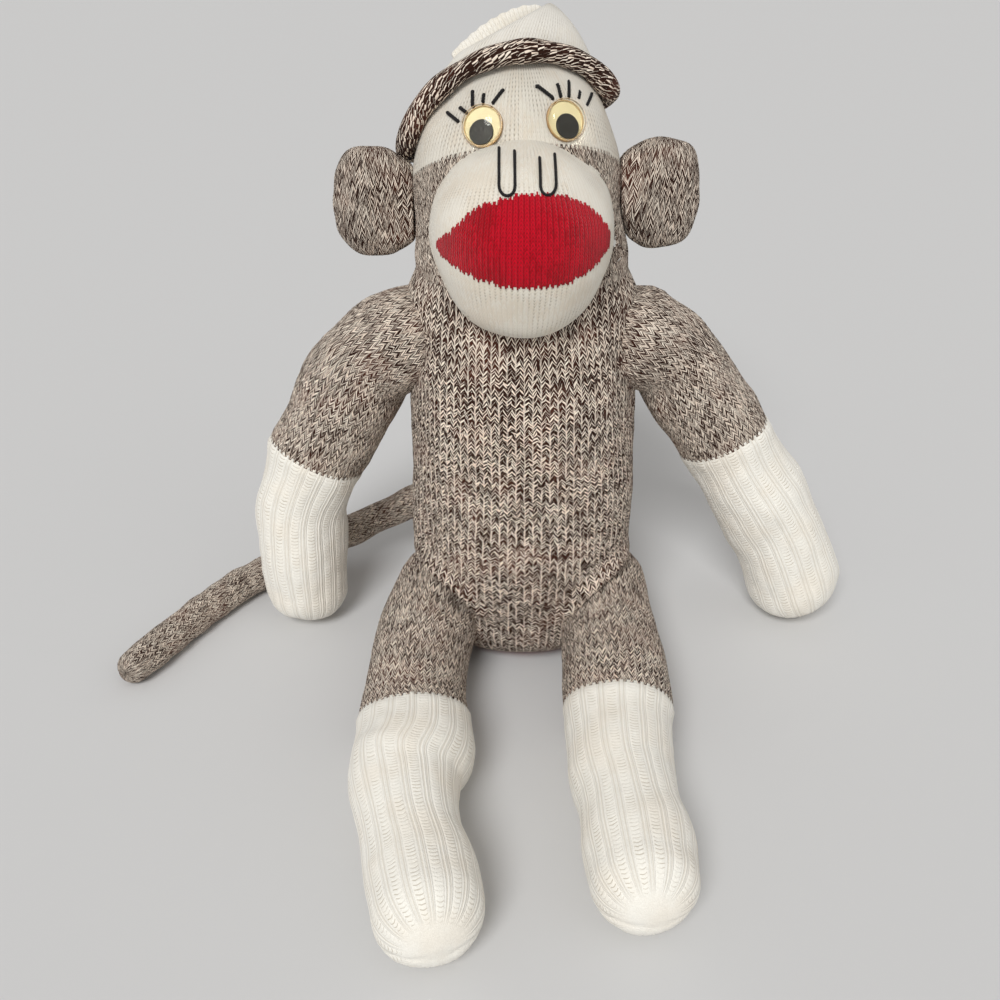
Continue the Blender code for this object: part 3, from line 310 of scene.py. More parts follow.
@dataclass
class Weave:
    """A surface of knit: rows of points, the stitch that each lies in, and a core that it faces away from."""

    points: np.ndarray
    wales: np.ndarray
    courses: np.ndarray
    core: np.ndarray
    closed: bool = True
    felted: np.ndarray | None = None

    def normals(self) -> np.ndarray:
        """The outward direction at every point."""
        if self.closed:
            along_row = np.roll(self.points, -1, axis=1) - np.roll(self.points, 1, axis=1)
        else:
            along_row = np.gradient(self.points, axis=1)
        found = unit(np.cross(along_row, np.gradient(self.points, axis=0)))
        return found if np.sum(found * (self.points - self.core)) > 0 else -found

    def push(self, amounts: np.ndarray) -> None:
        """Moves every point outward.

        Args:
            amounts: how far, for each point.
        """
        self.points = self.points + self.normals() * amounts[..., None]

    def clear(self, name: str) -> None:
        """Moves points that are in or close to stuffing out of it.

        Args:
            name: the stuffing's CAD node.
        """
        node = frame["nodes"][name].data
        filling = BVHTree.FromPolygons([point.co for point in node.vertices],
                                       [face.vertices for face in node.polygons])
        low, high = (np.array(corner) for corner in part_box(name))
        reach = STUFFING_ROOM * 4
        flat = self.points.reshape(-1, 3)
        close = np.flatnonzero(np.all((flat > low - reach) & (flat < high + reach), axis=1))
        for index in close:
            found, normal, _, distance = filling.find_nearest(Vector(flat[index]), STUFFING_SEARCH)
            if found is None:
                continue
            depth = (Vector(flat[index]) - found).dot(normal)
            if depth < STUFFING_ROOM and (depth < 0 or distance < STUFFING_ROOM):
                flat[index] = found + normal * STUFFING_ROOM
        self.points = flat.reshape(self.points.shape)

    def stitch_heights(self, gauge: Gauge) -> np.ndarray:
        """How high the yarn stands at every point."""
        return stitch_height(self.wales[:-1][None, :], self.courses[:, :-1], gauge.slant)

    def middle_stitches(self) -> tuple[np.ndarray, np.ndarray]:
        """The stitch coordinates at the middle of every face."""
        wales = (self.wales[:-1] + self.wales[1:]) / 2
        courses = (self.courses[:-1] + self.courses[1:]) / 2
        return np.broadcast_to(wales, courses[:, :-1].shape), (courses[:, :-1] + courses[:, 1:]) / 2

    def middle_legs(self, gauge: Gauge) -> np.ndarray:
        """The middle of every face, counted in rows along the stitches' legs."""
        return stitch_legs(*self.middle_stitches(), gauge.slant)[0]

    def piece(
        self,
        name: str,
        keep: np.ndarray | None = None,
        caps: tuple[bool, bool] = (False, False),
        rim: float = 0.0,
    ) -> bpy.types.Object:
        """Makes the mesh of the surface, or of some of its faces.

        Args:
            name: the object's name.
            keep: which faces to keep, or None for all.
            caps: whether to close the first and the last row with a fan.
            rim: how deep a lip to turn in along open edges.

        Returns:
            The new object.
        """
        rows, columns = self.points.shape[:2]
        spans = columns if self.closed else columns - 1
        row, column = np.meshgrid(np.arange(rows - 1), np.arange(spans), indexing="ij")
        after = (column + 1) % columns
        quads = np.stack([row * columns + column, row * columns + after,
                          (row + 1) * columns + after, (row + 1) * columns + column], axis=-1)
        across = np.stack([self.wales[column], self.wales[column + 1],
                           self.wales[column + 1], self.wales[column]], axis=-1)
        along = np.stack([self.courses[row, column], self.courses[row, column + 1],
                          self.courses[row + 1, column + 1], self.courses[row + 1, column]], axis=-1)
        stitches = np.stack([across, along], axis=-1)
        chosen = np.ones((rows - 1, spans), bool) if keep is None else keep
        quads, stitches = quads[chosen], stitches[chosen]
        normals = self.normals().reshape(-1, 3)
        points = self.points.reshape(-1, 3)
        corners = points[quads]
        faces_out = np.cross(corners[:, 1] - corners[:, 0], corners[:, 3] - corners[:, 0])
        if np.sum(faces_out * normals[quads[:, 0]]) < 0:
            quads, stitches = quads[:, ::-1], stitches[:, ::-1]
        faces = [quads]
        marks = [stitches.reshape(-1, 2)]
        extra = []
        flipped = quads[0, 0] != row[chosen][0] * columns + column[chosen][0]
        for wanted, edge in zip(caps, (0, rows - 1)):
            if not wanted:
                continue
            ring = edge * columns + np.arange(columns)
            pole = len(points) + len(extra)
            extra.append(points[ring].mean(axis=0))
            follow = np.roll(ring, -1)
            fan = np.stack([follow, ring, np.full(columns, pole)], axis=-1)
            if (edge != 0) != flipped:
                fan = fan[:, [1, 0, 2]]
            faces.append(fan)
            level = self.courses[edge, 0]
            marks.append(np.stack([self.wales[fan % columns * (fan < len(points))],
                                   np.full(fan.shape, level)], axis=-1).reshape(-1, 2))
        if rim:
            edges = np.concatenate([np.stack([f[:, i], f[:, (i + 1) % f.shape[1]]], axis=-1)
                                    for f in faces for i in range(f.shape[1])])
            total = len(points) + len(extra)
            forward = edges[:, 0].astype(np.int64) * total + edges[:, 1]
            backward = edges[:, 1].astype(np.int64) * total + edges[:, 0]
            open_edges = edges[~np.isin(forward, backward)]
            border = np.unique(open_edges)
            sunk = total + np.arange(len(border))
            extra.extend(points[border] - normals[border] * rim)
            lookup = np.zeros(total, int)
            lookup[border] = sunk
            lip = np.stack([open_edges[:, 1], open_edges[:, 0],
                            lookup[open_edges[:, 0]], lookup[open_edges[:, 1]]], axis=-1)
            faces.append(lip)
            place = lip.copy()
            place[:, 2], place[:, 3] = open_edges[:, 0], open_edges[:, 1]
            marks.append(np.stack([self.wales[place % columns],
                                   self.courses[:, :columns].reshape(-1)[place]], axis=-1).reshape(-1, 2))
        everything = np.concatenate([points, np.array(extra).reshape(-1, 3)])
        used = np.unique(np.concatenate([f.reshape(-1) for f in faces]))
        renumber = np.zeros(len(everything), int)
        renumber[used] = np.arange(len(used))
        mesh = bpy.data.meshes.new(name)
        mesh.from_pydata(everything[used].tolist(), [], [face for f in faces for face in renumber[f].tolist()])
        layer = mesh.uv_layers.new(name="stitches")
        layer.data.foreach_set("uv", np.concatenate(marks).astype(np.float32).reshape(-1))
        if self.felted is not None:
            given = np.broadcast_to(self.felted, self.points.shape[:2]).reshape(-1)
            matted = np.concatenate([given, np.full(len(everything) - len(given), given[-1])])
            mark_points(mesh, "felted", matted[used])
        mesh.shade_smooth()
        made = bpy.data.objects.new(name, mesh)
        bpy.context.scene.collection.objects.link(made)
        return made


# Finishes


class Nodes:
    """A short way to add nodes to a tree and join them."""

    def __init__(self, tree: bpy.types.NodeTree) -> None:
        """Keeps the tree that the nodes go into."""
        self.tree = tree

    def add(self, kind: str, **settings: object) -> bpy.types.Node:
        """Adds a node.

        Args:
            kind: the node's type in Blender.
            settings: its properties by name.

        Returns:
            The node.
        """
        node = self.tree.nodes.new(kind)
        for name, value in settings.items():
            setattr(node, name, value)
        return node

    def feed(self, socket: bpy.types.NodeSocket, value: object) -> None:
        """Joins an output to a socket, or sets the socket to a plain value."""
        if isinstance(value, bpy.types.NodeSocket):
            self.tree.links.new(value, socket)
        else:
            socket.default_value = value

    def math(self, operation: str, *values: object, clamp: bool = False) -> bpy.types.NodeSocket:
        """Adds a Math node on the values and returns its output."""
        node = self.add("ShaderNodeMath", operation=operation, use_clamp=clamp)
        for socket, value in zip(node.inputs, values):
            self.feed(socket, value)
        return node.outputs[0]

    def times(self, first: object, second: object, clamp: bool = False) -> bpy.types.NodeSocket:
        """The product of two values."""
        return self.math("MULTIPLY", first, second, clamp=clamp)

    def times_plus(self, first: object, second: object, third: object) -> bpy.types.NodeSocket:
        """The product of two values, with a third added."""
        return self.math("MULTIPLY_ADD", first, second, third)

    def plus(self, first: object, second: object, clamp: bool = False) -> bpy.types.NodeSocket:
        """The sum of two values."""
        return self.math("ADD", first, second, clamp=clamp)

    def minus(self, first: object, second: object, clamp: bool = False) -> bpy.types.NodeSocket:
        """The first value less the second."""
        return self.math("SUBTRACT", first, second, clamp=clamp)

    def larger(self, first: object, second: object) -> bpy.types.NodeSocket:
        """The larger of two values."""
        return self.math("MAXIMUM", first, second)

    def size(self, value: object) -> bpy.types.NodeSocket:
        """A value without its sign."""
        return self.math("ABSOLUTE", value)

    def floor(self, value: object) -> bpy.types.NodeSocket:
        """The whole number under a value."""
        return self.math("FLOOR", value)

    def fraction(self, value: object) -> bpy.types.NodeSocket:
        """What a value has over its whole number."""
        return self.math("FRACT", value)

    def hump(self, part: object) -> bpy.types.NodeSocket:
        """A curve that rises from 0 to 1 and falls back to 0 as the part goes from 0 to 1."""
        return self.times(self.times(part, self.minus(1.0, part)), 4.0)

    def split(self, place: object) -> bpy.types.bpy_prop_collection:
        """The three numbers of a vector."""
        node = self.add("ShaderNodeSeparateXYZ")
        self.feed(node.inputs[0], place)
        return node.outputs

    def mark(self, name: str) -> bpy.types.NodeSocket:
        """A number that the mesh keeps at its points."""
        return self.add("ShaderNodeAttribute", attribute_name=name).outputs["Fac"]

    def ease(
        self, value: object, low: float, high: float, to_low: float = 0.0, to_high: float = 1.0
    ) -> bpy.types.NodeSocket:
        """Adds a smooth Map Range node and returns its output."""
        node = self.add("ShaderNodeMapRange", interpolation_type="SMOOTHSTEP")
        for name, entry in (("Value", value), ("From Min", low), ("From Max", high),
                            ("To Min", to_low), ("To Max", to_high)):
            self.feed(node.inputs[name], entry)
        return node.outputs[0]

    def vector(self, x: object, y: object, z: object = 0.0) -> bpy.types.NodeSocket:
        """Adds a Combine XYZ node and returns its output."""
        node = self.add("ShaderNodeCombineXYZ")
        for socket, value in zip(node.inputs, (x, y, z)):
            self.feed(socket, value)
        return node.outputs[0]

    def noise(self, place: object, scale: float, detail: float = 2.0) -> bpy.types.NodeSocket:
        """Adds a Noise Texture and returns its factor."""
        node = self.add("ShaderNodeTexNoise")
        self.feed(node.inputs["Vector"], place)
        node.inputs["Scale"].default_value = scale
        node.inputs["Detail"].default_value = detail
        return node.outputs["Fac"]

    def mix(self, factor: object, first: object, second: object, blend: str = "MIX") -> bpy.types.NodeSocket:
        """Adds a colour Mix node and returns its result."""
        node = self.add("ShaderNodeMix", data_type="RGBA", blend_type=blend)
        self.feed(node.inputs[0], factor)
        self.feed(node.inputs[6], first)
        self.feed(node.inputs[7], second)
        return node.outputs[2]


def colour(red: int, green: int, blue: int) -> tuple[float, float, float, float]:
    """A screen colour as linear light.

    Args:
        red: 0 to 255.
        green: 0 to 255.
        blue: 0 to 255.

    Returns:
        The colour with full alpha.
    """
    return (*(((level / 255 + 0.055) / 1.055) ** 2.4 if level > 10 else level / 255 / 12.92
              for level in (red, green, blue)), 1.0)


def new_group(
    name: str, inputs: Sequence[tuple[str, str, float]], outputs: Sequence[tuple[str, str]]
) -> tuple[Nodes, bpy.types.Node, bpy.types.Node]:
    """Makes an empty node group.

    Args:
        name: the group's name.
        inputs: each socket's name, kind and starting value.
        outputs: each socket's name and kind.

    Returns:
        The group's node helper, its input node and its output node.
    """
    tree = bpy.data.node_groups.new(name, "ShaderNodeTree")
    for label, kind, value in inputs:
        socket = tree.interface.new_socket(name=label, in_out="INPUT", socket_type=kind)
        if kind == "NodeSocketFloat":
            socket.default_value = value
    for label, kind in outputs:
        tree.interface.new_socket(name=label, in_out="OUTPUT", socket_type=kind)
    nodes = Nodes(tree)
    return nodes, nodes.add("NodeGroupInput"), nodes.add("NodeGroupOutput")


def stitch_group() -> bpy.types.NodeTree:
    """The knit stitch: two slanted legs of yarn in every cell of the stitch coordinates.

    Returns:
        The group. It gives the yarn's height, the place across and along a leg, how far from the stitch's middle
        that is, the row and the wale, and three random numbers for each leg.
    """
    number, vector = "NodeSocketFloat", "NodeSocketVector"
    nodes, given, out = new_group(
        "knit stitch",
        [("Stitches", vector, 0.0), ("Slant", number, 1.25), ("Wander", number, 0.12), ("Rope", number, 0.0)],
        [("Height", number), ("Across Leg", number), ("Along Leg", number), ("Aside", number), ("Row", number),
         ("Wale", number), ("Seeds", vector)],
    )
    stitches, slant, wander, rope = (given.outputs[label] for label in ("Stitches", "Slant", "Wander", "Rope"))
    across, along, _ = nodes.split(stitches)
    sway = nodes.minus(nodes.noise(stitches, 0.45), 0.5)
    bob = nodes.minus(nodes.noise(nodes.vector(along, across, 7.0), 0.5), 0.5)
    wales = nodes.times_plus(sway, nodes.times(wander, 2.0), across)
    rows = nodes.times_plus(bob, nodes.times(wander, 5.0), along)
    folded = nodes.times(nodes.size(nodes.minus(nodes.fraction(wales), 0.5)), 2.0)
    roped = nodes.times(nodes.minus(nodes.fraction(wales), folded), rope)
    aside = nodes.plus(folded, roped)
    drift = nodes.times_plus(nodes.noise(nodes.vector(across, along, 11.0), 0.16), 1.2, 0.4)
    legs = nodes.times_plus(aside, nodes.times(slant, drift), rows)
    part = nodes.fraction(legs)
    back = nodes.hump(part)
    bowed = nodes.times_plus(nodes.math("SINE", nodes.times(aside, math.pi)), 1 - LEG_END, LEG_END)
    row = nodes.floor(legs)
    halves = nodes.times(wales, nodes.minus(2.0, rope))
    dice = nodes.add("ShaderNodeTexWhiteNoise", noise_dimensions="2D")
    nodes.feed(dice.inputs["Vector"], nodes.vector(nodes.floor(halves), row))
    given_out = {
        "Height": nodes.times(nodes.math("POWER", back, YARN_ROUND), bowed), "Across Leg": part,
        "Along Leg": nodes.fraction(halves), "Aside": aside, "Row": row, "Wale": wales,
        "Seeds": dice.outputs["Color"],
    }
    for label, value in given_out.items():
        nodes.feed(out.inputs[label], value)
    return nodes.tree


def fuzz_group() -> bpy.types.NodeTree:
    """Loose surface fibres: a fine tangle in the finish and soft blotches in the shade.

    Returns:
        The group, with the tangle and the blotches as numbers from 0 to 1.
    """
    nodes, _, out = new_group("loose fibres", [], [("Tangle", "NodeSocketFloat"), ("Blotches", "NodeSocketFloat")])
    place = nodes.add("ShaderNodeTexCoord").outputs["Object"]
    warped = nodes.add("ShaderNodeVectorMath", operation="ADD")
    nodes.feed(warped.inputs[0], place)
    scaled = nodes.add("ShaderNodeVectorMath", operation="SCALE")
    wobble = nodes.add("ShaderNodeTexNoise")
    nodes.feed(wobble.inputs["Vector"], place)
    wobble.inputs["Scale"].default_value = 420.0
    nodes.feed(scaled.inputs[0], wobble.outputs["Color"])
    scaled.inputs["Scale"].default_value = 0.0022
    nodes.feed(warped.inputs[1], scaled.outputs[0])
    nodes.feed(out.inputs["Tangle"], nodes.noise(warped.outputs[0], 1900.0, 3.0))
    nodes.feed(out.inputs["Blotches"], nodes.noise(place, 55.0, 3.0))
    return nodes.tree


@dataclass(frozen=True)
class Knit:
    """What knit finishes share: how rough the yarn is and how deep its stitches look."""

    slant: float = 1.25
    wander: float = 0.12
    rope: float = 0.0
    depth: float = 0.0005
    rough: float = 0.92
    sheen: float = 0.25
    fuzz: float = 0.35

    def start(
        self, name: str
    ) -> tuple[bpy.types.Material, Nodes, bpy.types.Node, bpy.types.Node, bpy.types.Node]:
        """Makes the material with its stitches and fibres.

        Args:
            name: the material's name.

        Returns:
            The material, its node helper, the shader, the stitch group node and the fibre group node.
        """
        made = bpy.data.materials.new(name)
        made.use_nodes = True
        nodes = Nodes(made.node_tree)
        shader = made.node_tree.nodes["Principled BSDF"]
        shader.inputs["Roughness"].default_value = self.rough
        shader.inputs["Sheen Weight"].default_value = self.sheen
        shader.inputs["Sheen Roughness"].default_value = 0.45
        shader.inputs["Specular IOR Level"].default_value = 0.15
        stitches = nodes.add("ShaderNodeUVMap", uv_map="stitches")
        knit = nodes.add("ShaderNodeGroup")
        knit.node_tree = bpy.data.node_groups["knit stitch"]
        nodes.feed(knit.inputs["Stitches"], stitches.outputs[0])
        knit.inputs["Slant"].default_value = self.slant
        knit.inputs["Wander"].default_value = self.wander
        knit.inputs["Rope"].default_value = self.rope
        fibres = nodes.add("ShaderNodeGroup")
        fibres.node_tree = bpy.data.node_groups["loose fibres"]
        return made, nodes, shader, knit, fibres

    def finish(
        self, nodes: Nodes, shader: bpy.types.Node, tint: object, height: object, fibres: bpy.types.Node
    ) -> None:
        """Joins the colour and the relief to the shader."""
        nodes.feed(shader.inputs["Base Color"], tint)
        relief = nodes.times_plus(fibres.outputs["Tangle"], self.fuzz, height)
        bump = nodes.add("ShaderNodeBump")
        bump.inputs["Strength"].default_value = 0.9
        bump.inputs["Distance"].default_value = self.depth
        nodes.feed(bump.inputs["Height"], relief)
        nodes.feed(shader.inputs["Normal"], bump.outputs[0])


@dataclass(frozen=True)
class Marl(Knit):
    """Yarn of one cream and one brown ply, twisted together, so that each leg of a stitch shows its own streak."""

    cream: tuple = colour(255, 243, 226)
    dull: tuple = colour(240, 214, 194)
    brown: tuple = colour(50, 28, 19)
    warm: tuple = colour(86, 49, 37)
    sheen: float = 0.03
    cream_share: float = 0.36
    stray: float = 0.6
    twist: float = 1.1
    width_spread: float = 0.24
    patch_spread: float = 0.34
    edge: float = 0.03
    wale_lines: float = 0.0

    def build(self, name: str) -> bpy.types.Material:
        """Makes the material of that name."""
        made, nodes, shader, knit, fibres = self.start(name)
        wale, row = knit.outputs["Wale"], knit.outputs["Row"]
        first, second, third = nodes.split(knit.outputs["Seeds"])
        patches = nodes.noise(nodes.vector(nodes.times(wale, 0.17), nodes.times(row, 0.36), 3.0), 1.0)
        twist = nodes.times(nodes.minus(third, 0.5), nodes.minus(knit.outputs["Along Leg"], 0.5))
        shift = nodes.times_plus(nodes.minus(first, 0.5), self.stray, nodes.times(twist, self.twist))
        spot = nodes.fraction(nodes.minus(knit.outputs["Across Leg"], shift))
        away = nodes.size(nodes.minus(spot, 0.5))
        wide = nodes.times_plus(second, self.width_spread, self.cream_share / 2 - self.width_spread / 2)
        wider = nodes.times_plus(nodes.minus(patches, 0.5), self.patch_spread, wide)
        shown = nodes.ease(nodes.minus(away, wider), -self.edge, self.edge, 1.0, 0.0)
        if self.wale_lines:
            along_wale = nodes.vector(nodes.floor(nodes.plus(wale, 0.5)), nodes.times(row, 0.14), 9.0)
            broken = nodes.ease(nodes.noise(along_wale, 1.0), 0.42, 0.56)
            line = nodes.ease(knit.outputs["Aside"], 0.74, 0.84, 0.0, self.wale_lines)
            shown = nodes.larger(shown, nodes.times(line, broken))
        dark = nodes.mix(nodes.ease(fibres.outputs["Blotches"], 0.45, 0.75), self.brown, self.warm)
        light = nodes.mix(nodes.times(third, 0.6), self.cream, self.dull)
        yarn = nodes.mix(shown, dark, light)
        shade = nodes.ease(knit.outputs["Height"], 0.02, 0.4, 0.75, 1.0)
        tint = nodes.mix(1.0, yarn, nodes.vector(shade, shade, shade), "MULTIPLY")
        self.finish(nodes, shader, tint, knit.outputs["Height"], fibres)
        return made


@dataclass(frozen=True)
class PlainKnit(Knit):
    """Yarn of one colour, with painted shade in the gaps between its stitches and in small dark holes where the knit
    is stretched.
    """

    yarn: tuple = colour(241, 235, 222)
    # The gap colour and the colour of the stretched holes are painted shade; legs, lines and holes set how much
    # painted shade darkens the gaps, the wale edges and the stretched holes.
    gap: tuple = colour(214, 205, 188)
    worn: tuple = colour(236, 226, 209)
    hole: tuple = colour(140, 126, 106)
    holes: float = 0.8
    lines: float = 0.35
    legs: float = 0.3
    patchy: tuple[float, float] = (0.42, 0.6)

    def build(self, name: str) -> bpy.types.Material:
        """Makes the material of that name."""
        made, nodes, shader, knit, fibres = self.start(name)
        aside = knit.outputs["Aside"]
        matted = nodes.mark("felted")
        first, second, _ = nodes.split(knit.outputs["Seeds"])
        blotch = nodes.times_plus(nodes.minus(first, 0.5), 0.25, fibres.outputs["Blotches"])
        base = nodes.mix(nodes.ease(blotch, 0.4, 0.7), self.yarn, self.worn)
        # Painted shade: the colour darkens towards the gap colour where the yarn is low between stitches and along the
        # edges between wales.
        hollow_shade = nodes.ease(knit.outputs["Height"], 0.0, 0.55, self.legs, 0.0)
        between = nodes.times(nodes.ease(aside, 0.6, 1.0), self.lines)
        tint = nodes.mix(nodes.plus(hollow_shade, between, clamp=True), base, self.gap)
        # Painted shade in small holes where the knit is stretched: dark spots beside the stitches' middles, in
        # patches, fewer where it is felted.
        patch = nodes.vector(nodes.times(knit.outputs["Wale"], 0.09), nodes.times(knit.outputs["Row"], 0.09), 5.0)
        stretched = nodes.ease(nodes.noise(patch, 1.0, 1.0), *self.patchy)
        beside = nodes.ease(aside, 0.5, 0.85)
        level = nodes.ease(nodes.size(nodes.minus(knit.outputs["Across Leg"], 0.5)), 0.1, 0.32, 1.0, 0.0)
        hole = nodes.times(nodes.times(beside, level), nodes.times(stretched, self.holes))
        hole = nodes.times(hole, nodes.times_plus(second, 0.5, 0.5))
        hole = nodes.times(hole, nodes.minus(1.0, matted), clamp=True)
        tint = nodes.mix(hole, tint, self.hole)
        height = nodes.minus(knit.outputs["Height"], nodes.times(hole, 0.5))
        self.finish(nodes, shader, tint, height, fibres)
        return made


@dataclass(frozen=True)
class RibKnit(Knit):
    """Ribbing: narrow upright ribs with bands of small arched stitches between them, felted smooth at the tip, with
    painted shade in the gaps between the arches and in the furrows beside the ribs.
    """

    yarn: tuple = colour(253, 250, 241)
    # The gap colour is painted shade for the gaps and furrows, and it also tints the random downy mottle.
    gap: tuple = colour(202, 192, 174)
    worn: tuple = colour(251, 245, 233)

    def build(self, name: str) -> bpy.types.Material:
        """Makes the material of that name."""
        made, nodes, shader, _, fibres = self.start(name)
        clear = nodes.minus(1.0, nodes.mark("felted"), clamp=True)
        ribs, rows, _ = nodes.split(nodes.add("ShaderNodeUVMap", uv_map="stitches").outputs[0])
        from_rib = nodes.minus(0.5, nodes.size(nodes.minus(nodes.fraction(ribs), 0.5)))
        sway = nodes.times(nodes.noise(nodes.vector(ribs, nodes.times(rows, 0.2)), 2.0), 0.8)
        into_band = nodes.ease(from_rib, 0.22, 0.5, 0.3, 0.0)
        band = nodes.hump(nodes.fraction(nodes.plus(nodes.plus(rows, into_band), sway)))
        in_band = nodes.ease(from_rib, 0.24, 0.32)
        beside = nodes.ease(nodes.size(nodes.minus(from_rib, FURROW)), 0.0, 0.05, 1.0, 0.0)
        ridge = nodes.larger(beside, nodes.ease(from_rib, 0.0, 0.05, 0.8, 0.0))
        arches = nodes.times(nodes.math("POWER", band, YARN_ROUND), nodes.times(in_band, 0.7))
        height = nodes.times(nodes.plus(arches, ridge), clear)
        base = nodes.mix(nodes.ease(fibres.outputs["Blotches"], 0.4, 0.7), self.yarn, self.worn)
        # Painted shade in the gaps between the arches, stronger in some patches, and in the furrows beside the ribs;
        # none where the tip is felted.
        shade_patch_place = nodes.vector(ribs, nodes.times(rows, 0.12), 3.0)
        patchy = nodes.ease(nodes.noise(shade_patch_place, 1.3), 0.36, 0.62, 0.2, 1.0)
        arch_gap_shade = nodes.times(nodes.ease(band, 0.0, 0.7, 1.0, 0.0), nodes.times(in_band, clear))
        furrow = nodes.ease(nodes.size(nodes.minus(from_rib, 0.1)), 0.0, 0.06, 0.55, 0.0)
        painted_shade = nodes.larger(nodes.times(arch_gap_shade, patchy), nodes.times(furrow, clear))
        downy = nodes.ease(fibres.outputs["Tangle"], 0.38, 0.6, 0.14, 0.0)
        tint = nodes.mix(nodes.larger(painted_shade, downy), base, self.gap)
        self.finish(nodes, shader, tint, height, fibres)
        return made


@dataclass(frozen=True)
class Smooth:
    """A plain smooth finish with a little unevenness, such as plastic or thread."""

    tint: tuple
    rough: float = 0.3
    coat: float = 0.0
    transmission: float = 0.0
    speckle: float = 0.1
    rim: tuple | None = None
    lets_light: float = 0.0
    bends: float = 1.46

    def build(self, name: str) -> bpy.types.Material:
        """Makes the material of that name."""
        made = bpy.data.materials.new(name)
        made.use_nodes = True
        nodes = Nodes(made.node_tree)
        shader = made.node_tree.nodes["Principled BSDF"]
        place = nodes.add("ShaderNodeTexCoord").outputs["Object"]
        grain = nodes.noise(place, 900.0, 3.0)
        darker = tuple(level * (1 - self.speckle * 2) for level in self.tint[:3]) + (1.0,)
        tint = nodes.mix(grain, darker, self.tint)
        if self.rim:
            tint = nodes.mix(nodes.mark("rim"), tint, self.rim)
        nodes.feed(shader.inputs["Base Color"], tint)
        if self.lets_light:
            shadow = nodes.add("ShaderNodeLightPath").outputs["Is Shadow Ray"]
            nodes.feed(shader.inputs["Alpha"], nodes.times_plus(shadow, -self.lets_light, 1.0))
        nodes.feed(shader.inputs["Roughness"], nodes.ease(grain, 0.2, 0.8, self.rough, self.rough * 1.4))
        shader.inputs["Coat Weight"].default_value = self.coat
        shader.inputs["Transmission Weight"].default_value = self.transmission
        shader.inputs["IOR"].default_value = self.bends
        return made


class Finish(Enum):
    """Every finish on the doll, by the name of its material."""

    TORSO_MARL = "torso marl"
    LIMB_MARL = "limb marl"
    EAR_MARL = "ear marl"
    BRIM_MARL = "brim marl"
    CREAM = "cream knit"
    HAT_CREAM = "hat knit"
    MUZZLE_CREAM = "muzzle knit"
    RIBBED = "ribbed cream knit"
    RED = "red knit"
    THREAD = "black thread"
    FIBRE = "stuffing"
    EYE_BACK = "yellowed eye"
    PUPIL = "eye pupil"
    DOME = "clear dome"

    @property
    def material(self) -> bpy.types.Material:
        """The finish's material."""
        return bpy.data.materials[self.value]


def build_finishes() -> None:
    """Makes every material once."""
    stitch_group()
    fuzz_group()
    recipes = {
        Finish.TORSO_MARL: Marl(slant=TORSO_GAUGE.slant, wander=0.2, wale_lines=0.75, stray=0.7, cream_share=0.3),
        Finish.LIMB_MARL: Marl(slant=LIMB_GAUGE.slant, wander=0.2, wale_lines=0.5, stray=0.8, cream_share=0.38),
        Finish.EAR_MARL: Marl(slant=EAR_GAUGE.slant, wander=0.16, stray=0.9, cream_share=0.36),
        Finish.BRIM_MARL: Marl(slant=BRIM_GAUGE.slant, wander=0.22, rope=1.0, cream_share=0.28, stray=0.8),
        # In the plain knits, the gap colour and the colour of the stretched holes are painted shade, and legs, lines
        # and holes set how much of it there is.
        Finish.CREAM: PlainKnit(slant=TOE_GAUGE.slant, depth=0.00035),
        Finish.HAT_CREAM: PlainKnit(yarn=colour(253, 249, 240), worn=colour(249, 243, 230), slant=TOE_GAUGE.slant,
                                    depth=0.0003, holes=0.6, patchy=(0.5, 0.66)),
        Finish.MUZZLE_CREAM: PlainKnit(depth=0.00025, holes=0.6, lines=0.25, legs=0.15, patchy=(0.48, 0.64)),
        # The ribbed knit's gap colour is painted shade as well.
        Finish.RIBBED: RibKnit(depth=0.00024, fuzz=1.5),
        Finish.RED: PlainKnit(yarn=colour(208, 6, 36), gap=colour(112, 0, 12), worn=colour(178, 0, 24),
                              hole=colour(96, 0, 10), holes=0.5, lines=0.3, legs=0.75, depth=0.0005, sheen=0.15),
        Finish.THREAD: Smooth(colour(24, 22, 24), rough=0.7),
        Finish.FIBRE: Smooth(colour(236, 234, 228), rough=0.95),
        Finish.EYE_BACK: Smooth(colour(204, 193, 156), rough=0.4, coat=0.2, speckle=0.02, rim=colour(160, 122, 70)),
        Finish.PUPIL: Smooth(colour(26, 24, 22), rough=0.45, speckle=0.05),
        Finish.DOME: Smooth(colour(255, 254, 246), rough=0.02, transmission=1.0, speckle=0.0, lets_light=0.94,
                            bends=1.22),
    }
    for finish, recipe in recipes.items():
        recipe.build(finish.value)


def dress(
    piece: bpy.types.Object, finish: Finish, body: str, nodes: Sequence[str] = ()
) -> bpy.types.Object:
    """Gives a piece its finish and its place in the frame.

    Args:
        piece: the new object.
        finish: what it is made of.
        body: the CAD body that it moves with.
        nodes: the CAD nodes that it stands for.

    Returns:
        The same piece.
    """
    piece.data.materials.clear()
    piece.data.materials.append(finish.material)
    if body:
        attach(piece, body)
    if nodes:
        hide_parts(*nodes)
    log.info("%s: %d faces", piece.name, len(piece.data.polygons))
    return piece


def joint_place(name: str) -> np.ndarray:
    """The place of a joint of the frame.

    Args:
        name: the joint's name.

    Returns:
        Its place.
    """
    return np.array(next(joint["pos_m"] for joint in frame["joints"] if joint["name"] == name), float)


# Limbs and tail


